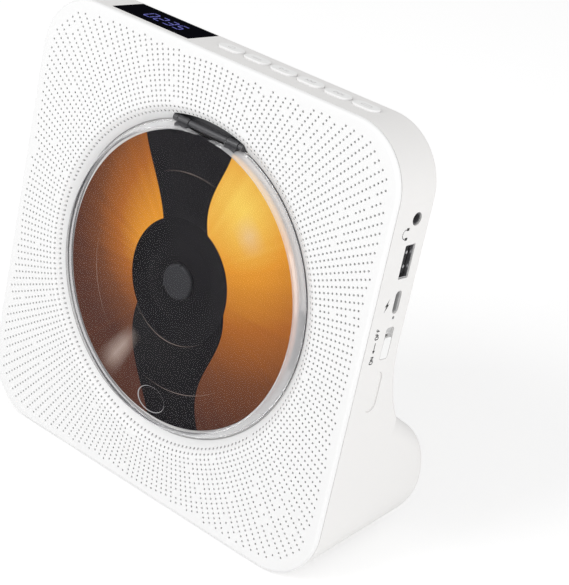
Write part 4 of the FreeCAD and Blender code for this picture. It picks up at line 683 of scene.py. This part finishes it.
    band = product(ribbon(1, 19.0, 0.085, 2.2, 6.0, -600), ribbon(-1, 17.0, 0.07, 0.4, 7.0, -900), -700)
    label = ring_mask(25.6, -1500)
    dark = larger(band, label, -700)
    ink = add_node(tree, "ShaderNodeMix", 100, 300, data_type="RGBA")
    links.new(dark, ink.inputs["Factor"])
    links.new(amber.outputs["Color"], ink.inputs[6])
    ink.inputs[7].default_value = (0.008, 0.0072, 0.009, 1)
    # Painted reflections and highlights: a pale streak to the lower left, a gleam to the upper right and thin light
    # arcs, mixed into the colour
    streak = product(sector(math.radians(-121.0), 0.13, -1800), between(33.0, 60.5, 10.0, -1900), -1800)
    gleam = product(sector(math.radians(46.0), 0.2, -2000), between(36.0, 50.0, 6.0, -2100), -2000)
    arcs = larger(product(line_mask(26.2, 0.12, -2200), sector(math.radians(-95.0), 0.8, -2300), -2200),
                  product(line_mask(46.0, 0.1, -2400), sector(math.radians(-75.0), 0.5, -2500), -2400), -2300)
    arcs = larger(arcs, product(line_mask(44.0, 0.1, -2600), sector(math.radians(95.0), 0.35, -2700), -2600), -2500)
    arcs = larger(arcs, product(line_mask(46.0, 0.1, -2600), sector(math.radians(200.0 - 360.0), 0.5, -2700), -2600),
                  -2500)
    sheen = larger(larger(times(streak, 0.5, -1800), times(gleam, 0.35, -2000), -1900), times(arcs, 0.4, -2300), -2000)
    # Painted highlight colour, laid over the print where the painted reflections fall
    lit = add_node(tree, "ShaderNodeMix", 300, 300, data_type="RGBA")
    links.new(sheen, lit.inputs["Factor"])
    links.new(ink.outputs[2], lit.inputs[6])
    lit.inputs[7].default_value = (0.75, 0.6, 0.52, 1)
    shader = add_node(tree, "ShaderNodeBsdfPrincipled", 500, 0, {"Specular IOR Level": 0.08})
    links.new(lit.outputs[2], shader.inputs["Base Color"])
    tracks = add_node(tree, "ShaderNodeTexNoise", 0, -400, {"Scale": 0.4, "Detail": 3.0}, noise_dimensions="1D")
    links.new(radius, tracks.inputs["W"])
    spread = add_node(tree, "ShaderNodeMapRange", 250, -400, {"To Min": 0.34, "To Max": 0.46})
    links.new(tracks.outputs["Fac"], spread.inputs["Value"])
    links.new(spread.outputs[0], shader.inputs["Roughness"])
    finish = add_node(tree, "ShaderNodeOutputMaterial", 800, 0)
    links.new(shader.outputs[0], finish.inputs["Surface"])
    return made


def round_disc():
    build = bmesh.new()
    rows = lathe(build, [(7.5, 2.5), (7.6, 2.4), (16.4, 2.4), (16.7, 2.46), (17.0, 2.4), (25.5, 2.4), (25.6, 2.36),
                         (25.7, 2.4), (59.85, 2.4), (60.0, 2.5), (60.0, 3.5), (59.85, 3.6), (7.6, 3.6), (7.5, 3.5)], 300)
    strip(build, rows[-1], rows[0])
    return build


# Display and marks

PORT_DEPTH = 14.8
ROW_DEPTH = 13.0
KEY_PROUD = 0.8
KEY_PITCH = 13.4
KEY_FIRST = -5.3

SEGMENTS = {"0": "abcdef", "1": "bc", "2": "abged", "3": "abgcd", "4": "fgbc", "5": "afgcd", "6": "afgedc", "7": "abc",
            "8": "abcdefg", "9": "abcdfg"}


def thin_plate(build, outline, level, thickness, lift):
    low = loop_of(build, [lift(x, y, level) for x, y in outline])
    high = loop_of(build, [lift(x, y, level + thickness) for x, y in outline])
    strip(build, low, high)
    build.faces.new(low)
    build.faces.new(list(reversed(high)))


def bar(build, start, end, width, level, thickness, lift):
    # A thin flat bar with pointed ends, drawn between two points of a surface
    run = Vector(end) - Vector(start)
    length = run.length
    run.normalize()
    side = Vector((-run.y, run.x))
    tip = min(width / 2, length / 2)
    begin = Vector(start)
    finish = Vector(end)
    flat = [begin, begin + run * tip + side * width / 2, finish - run * tip + side * width / 2, finish,
            finish - run * tip - side * width / 2, begin + run * tip - side * width / 2]
    thin_plate(build, flat, level, thickness, lift)


def on_top(x, depth, level):
    return x, depth, level


def on_side(depth, height, level):
    return level, depth, height


def draw_lines(lines, width, level, thickness, lift):
    # Thin bars through each row of points
    build = bmesh.new()
    for line in lines:
        for start, end in zip(line, line[1:]):
            bar(build, start, end, width, level, thickness, lift)
    return build


def arc(middle_x, middle_y, radius, start, end, steps=8):
    return [(middle_x + radius * math.cos(math.radians(start + (end - start) * step / steps)),
             middle_y + radius * math.sin(math.radians(start + (end - start) * step / steps)))
            for step in range(steps + 1)]


# Letters as rows of points, across and up, in a cell 1 wide and 1 high
LETTERS = {"O": [[(0, 0), (1, 0), (1, 1), (0, 1), (0, 0)]], "N": [[(0, 0), (0, 1), (1, 0), (1, 1)]],
           "F": [[(0, 0), (0, 1), (1, 1)], [(0, 0.5), (0.8, 0.5)]]}


def side_word(word, height, depth, size):
    # A word that reads up the side, with the tops of its letters to the front
    lines = []
    for place, letter in enumerate(word):
        low = height + place * size[0] * 1.5
        for stroke in LETTERS[letter]:
            lines.append([(depth - up * size[1], low + across * size[0]) for across, up in stroke])
    return lines


def side_marks():
    lines = side_word("ON", 4.9, 8.2, (1.1, 1.8)) + side_word("OFF", 14.9, 8.2, (1.1, 1.8))
    lines += [[(7.3, 9.8), (7.3, 13.6)], arc(9.9, 56.1, 1.9, 95, 265)]
    arrow_head = [(6.5, 10.4), (7.3, 9.0), (8.1, 10.4)]
    bolt = [(9.9, 30.7), (7.7, 27.7), (8.8, 28.0), (7.9, 25.3), (10.2, 28.7), (9.1, 28.4)]
    cups = [[(9.9, height - 0.55), (11.4, height - 0.55), (11.4, height + 0.55), (9.9, height + 0.55)]
            for height in (54.2, 58.0)]
    build = draw_lines(lines, 0.42, HALF, 0.01, on_side)
    for sign in [arrow_head, bolt] + cups:
        thin_plate(build, sign, HALF, 0.01, on_side)
    return build


def key_signs():
    # Line signs of the six keys, about each key's middle
    across = [(-2.4, 0), (2.4, 0)]
    skip = [[(-1.8, -1), (0.2, 0), (-1.8, 1), (-1.8, -1)], [(0.2, -1), (2.0, 0), (0.2, 1), (0.2, -1)], [(2.2, -1), (2.2, 1)]]
    back = [[(-x, y) for x, y in line] for line in skip]
    return [[arc(0, 0, 1.3, 120, 420, 12), [(0, 0.4), (0, 1.6)]], [across, [(-2.4, 0.9), (2.4, 0.9)]],
            [[(-1.8, -1), (-0.2, 0), (-1.8, 1), (-1.8, -1)], [(0.8, -1), (0.8, 1)], [(1.7, -1), (1.7, 1)]],
            back, skip, [[(-2.2, -0.8), (2.2, -0.8), (2.2, 0.8), (-2.2, 0.8), (-2.2, -0.8)]]]


def slider_recess_painted_shade():
    # Painted shade in the slider's recess: grey plates on its floor, beside and above the slot of its stem
    build = bmesh.new()
    for sign in (-1, 1):
        near, far = PORT_DEPTH + sign * 1.0, PORT_DEPTH + sign * 2.35
        thin_plate(build, [(near, 5.4), (far, 6.4), (far, 17.4), (near, 18.4)], HALF - 1.2, 0.05, on_side)
    thin_plate(build, [(PORT_DEPTH - 1.0, 15.7), (PORT_DEPTH + 1.0, 15.7), (PORT_DEPTH + 1.0, 18.4),
                       (PORT_DEPTH - 1.0, 18.4)], HALF - 1.2, 0.05, on_side)
    return build


def contact_springs():
    # Two small springs in the mouth of the large socket
    build = bmesh.new()
    for height in (42.0, 47.6):
        bar(build, (PORT_DEPTH + 1.1, height - 0.8), (PORT_DEPTH + 1.1, height + 0.8), 1.3, HALF - 1.98, 0.25, on_side)
    return build


def digits(text, left, front_depth_of_row, width, height, gap):
    build = bmesh.new()
    pen = left
    for sign in text:
        if sign == ":":
            for share in (0.3, 0.7):
                spot = front_depth_of_row - height * (share - 1)
                bar(build, (pen, spot), (pen + 0.5, spot), 0.5, HALF, 0.02, on_top)
            pen += 0.5 + gap
            continue
        low = front_depth_of_row + height
        half = front_depth_of_row + height / 2
        top = front_depth_of_row
        lines = {"a": ((pen, low), (pen + width, low)), "g": ((pen, half), (pen + width, half)),
                 "d": ((pen, top), (pen + width, top)), "f": ((pen, half), (pen, low)), "e": ((pen, top), (pen, half)),
                 "b": ((pen + width, half), (pen + width, low)), "c": ((pen + width, top), (pen + width, half))}
        for name in SEGMENTS[sign]:
            start, end = [Vector(point) for point in lines[name]]
            trim = (end - start).normalized() * 0.12
            bar(build, start + trim, end - trim, 0.55, HALF, 0.02, on_top)
        pen += width + gap
    return build


def build_pieces():
    white_front = moulded_plastic("white_front_plastic", (0.9, 0.9, 0.9), 0.45, bump=0.05, specular=0.3)
    white_case = moulded_plastic("white_case_plastic", (0.84, 0.83, 0.82), 0.5, bump=0.08, specular=0.3)
    key_white = moulded_plastic("key_plastic", (0.88, 0.88, 0.875), 0.4, bump=0.05)
    dark = moulded_plastic("dark_plastic", (0.02, 0.02, 0.022), 0.4, unevenness=0.1, specular=0.2)
    hub_grey = moulded_plastic("hub_plastic", (0.035, 0.035, 0.039), 0.5, unevenness=0.08, specular=0.1)
    cloth = moulded_plastic("grille_cloth_weave", (0.13, 0.13, 0.135), 0.9, grain_scale=1800.0, bump=0.4,
                            specular=0.1)
    rubber = moulded_plastic("foot_rubber", (0.05, 0.05, 0.05), 0.85, grain_scale=900.0, bump=0.3)
    board = moulded_plastic("green_board", (0.01, 0.09, 0.04), 0.4, unevenness=0.3)
    gear_white = moulded_plastic("gear_plastic", (0.75, 0.74, 0.68), 0.45)
    cell_blue = moulded_plastic("cell_sleeve", (0.03, 0.09, 0.22), 0.3)
    black_glass = moulded_plastic("display_black", (0.004, 0.004, 0.006), 0.1, bump=0.0, unevenness=0.2,
                                  specular=0.0)
    steel = brushed_metal("plain_steel", (0.55, 0.55, 0.56), 0.32)
    clear = clear_plastic("clear_lid", (0.98, 0.98, 0.985), (0.96, 0.96, 0.96), 0.0, 1.08)
    clear_rim = clear_plastic("clear_lid_rim", (0.93, 0.93, 0.94), (0.95, 0.95, 0.95), 0.08, 1.49, 0.72)
    # Painted shade: the lid's outer edge is dark grey, for the shaded gap round the lid
    painted_gap_shade = moulded_plastic("lid_cut_edge", (0.16, 0.16, 0.17), 0.25)
    # Painted highlight: the dimple's edge is grey, for the light that its curved edge catches
    painted_dimple_highlight = moulded_plastic("dimple_edge", (0.4, 0.4, 0.41), 0.35)
    smoke = moulded_plastic("hinge_smoke", (0.05, 0.05, 0.055), 0.25, specular=0.5)
    # Grey of the small socket, and also the painted shade on the floor of the slider's recess
    socket_grey_and_recess_shade = moulded_plastic("socket_grey_and_recess_shade", (0.52, 0.52, 0.52), 0.5, specular=0.3)
    jack_grey = moulded_plastic("jack_grey", (0.1, 0.1, 0.104), 0.5, specular=0.2)
    pipe = moulded_plastic("light_pipe_smoke", (0.16, 0.16, 0.17), 0.3)
    optic = clear_plastic("coated_lens", (0.55, 0.62, 0.85), (0.6, 0.65, 0.8))
    blue_light = glowing("display_light", (0.02, 0.025, 0.42), 1.0)
    mark = moulded_plastic("printed_mark", (0.02, 0.02, 0.02), 0.6, specular=0.1)
    sign_grey = moulded_plastic("raised_sign", (0.62, 0.61, 0.61), 0.5)
    finishes = {"white_front": white_front, "white_case": white_case, "clear": clear, "dark_plastic": dark, "steel": steel,
                "disc": dark, "hub_plastic": hub_grey, "cloth": cloth, "rubber": rubber, "board": board, "chip": dark,
                "key": key_white, "display": black_glass, "optic": optic, "gear": gear_white, "light": pipe,
                "cell": cell_blue}
    for part in frame["record"]["subparts"]:
        node = frame["nodes"][part["node"]]
        node.data.materials.clear()
        node.data.materials.append(finishes[part["material_slot"]])
    for name, made in (("chuck_balls", hub_grey), ("hinge_bracket", smoke), ("usb_c_socket", socket_grey_and_recess_shade),
                       ("audio_jack", jack_grey)):
        frame["nodes"][name].data.materials[0] = made
    finish_piece("front_panel", perforated_front(), white_front, "case", ["front_shell"])
    finish_piece("clear_lid", clear_lid(), clear, "lid", ["lid"], 20.0,
                 [(clear_rim, on_lid_rim), (painted_dimple_highlight, on_dimple_edge), (painted_gap_shade, on_lid_edge)])
    finish_piece("lid_arms", lid_arms(), smoke, "lid", [], 30.0)
    finish_piece("printed_disc", round_disc(), disc_print(), "disc", ["disc"])
    finish_piece("display_digits", digits("0235", -50.0, 9.5, 3.4, 6.5, 1.9), blue_light, "case")
    finish_piece("side_marks", side_marks(), mark, "case")
    # Painted shade: grey plates on the floor of the slider's recess
    finish_piece("slider_recess_painted_shade", slider_recess_painted_shade(), socket_grey_and_recess_shade, "case")
    finish_piece("contact_springs", contact_springs(), steel, "case")
    key_middle = KEY_FIRST
    for number, lines in enumerate(key_signs(), 1):
        placed = [[(key_middle + x, ROW_DEPTH - y) for x, y in line] for line in lines]
        sign = draw_lines(placed, 0.35, HALF + KEY_PROUD, 0.02, on_top)
        finish_piece("key_%d_sign" % number, sign, sign_grey, "key_%d" % number)
        key_middle += KEY_PITCH


# Stage, light and camera


def seen_directly(tree):
    # 1 for what the camera sees, also by reflection or through clear plastic
    path = add_node(tree, "ShaderNodeLightPath", -600, 300)
    seen = math_node(tree, "MAXIMUM", path.outputs["Is Camera Ray"], path.outputs["Is Glossy Ray"], -400, 300)
    return math_node(tree, "MAXIMUM", seen, path.outputs["Is Transmission Ray"], -250, 300)


def build_stage():
    floor_mesh = bpy.data.meshes.new("floor")
    reach = 6.0
    floor_mesh.from_pydata([(-reach, -reach, 0), (reach, -reach, 0), (reach, reach, 0), (-reach, reach, 0)], [],
                           [(0, 1, 2, 3)])
    floor = bpy.data.objects.new("floor", floor_mesh)
    bpy.context.scene.collection.objects.link(floor)
    made, nodes, links = new_material("floor_white")
    shader = add_node(made.node_tree, "ShaderNodeBsdfPrincipled", 0, 0,
                      {"Base Color": (0.8, 0.8, 0.8, 1), "Roughness": 0.9, "Specular IOR Level": 0.0,
                       "Emission Strength": 0.38})
    links.new(seen_directly(made.node_tree), shader.inputs["Emission Color"])
    finish = add_node(made.node_tree, "ShaderNodeOutputMaterial", 300, 0)
    links.new(shader.outputs[0], finish.inputs["Surface"])
    floor_mesh.materials.append(made)


def build_world():
    world = bpy.data.worlds.new("studio")
    bpy.context.scene.world = world
    world.use_nodes = True
    tree = world.node_tree
    tree.nodes.clear()
    room = add_node(tree, "ShaderNodeBackground", -300, 0, {"Color": (1, 1, 1, 1), "Strength": 0.55})
    backdrop = add_node(tree, "ShaderNodeBackground", -300, -200, {"Color": (1, 1, 1, 1), "Strength": 1.0})
    blend = add_node(tree, "ShaderNodeMixShader", 0, 0)
    tree.links.new(seen_directly(tree), blend.inputs[0])
    tree.links.new(room.outputs[0], blend.inputs[1])
    tree.links.new(backdrop.outputs[0], blend.inputs[2])
    finish = add_node(tree, "ShaderNodeOutputWorld", 200, 0)
    tree.links.new(blend.outputs[0], finish.inputs["Surface"])


def add_lamp(name, place, aim, power, size):
    data = bpy.data.lights.new(name, "AREA")
    data.energy = power
    data.size = size
    lamp = bpy.data.objects.new(name, data)
    lamp.location = place
    lamp.rotation_euler = (Vector(aim) - Vector(place)).to_track_quat("-Z", "Y").to_euler()
    bpy.context.scene.collection.objects.link(lamp)


def build_camera():
    # The photograph's view: measured place, right and up directions
    place = PANEL @ (Vector((422.4, -502.02, 266.18)) * MM)
    turn = PANEL.to_3x3()
    right = turn @ Vector((0.74024, 0.64233, 0.19861))
    up = turn @ Vector((-0.38307, 0.16018, 0.90972))
    back = turn @ Vector((0.55253, -0.7495, 0.36463))
    axes = Matrix((right, up, back)).transposed()
    data = bpy.data.cameras.new("photo_camera")
    data.sensor_width = 36.0
    data.lens = 1800.91 * 36.0 / 585
    data.shift_y = (282.58 - 292.5) / 585
    data.clip_start = 0.01
    camera = bpy.data.objects.new("photo_camera", data)
    camera.matrix_world = Matrix.Translation(place) @ axes.to_4x4()
    bpy.context.scene.collection.objects.link(camera)
    bpy.context.scene.camera = camera


bpy.context.scene.view_settings.view_transform = "Standard"
build_camera()
build_stage()
build_world()
add_lamp("front_key", (-0.6, -1.3, 1.1), (0, 0, 0.1), 14.0, 1.0)
add_lamp("right_fill", (1.6, -0.2, 0.5), (0, 0, 0.1), 13.0, 1.2)
build_pieces()
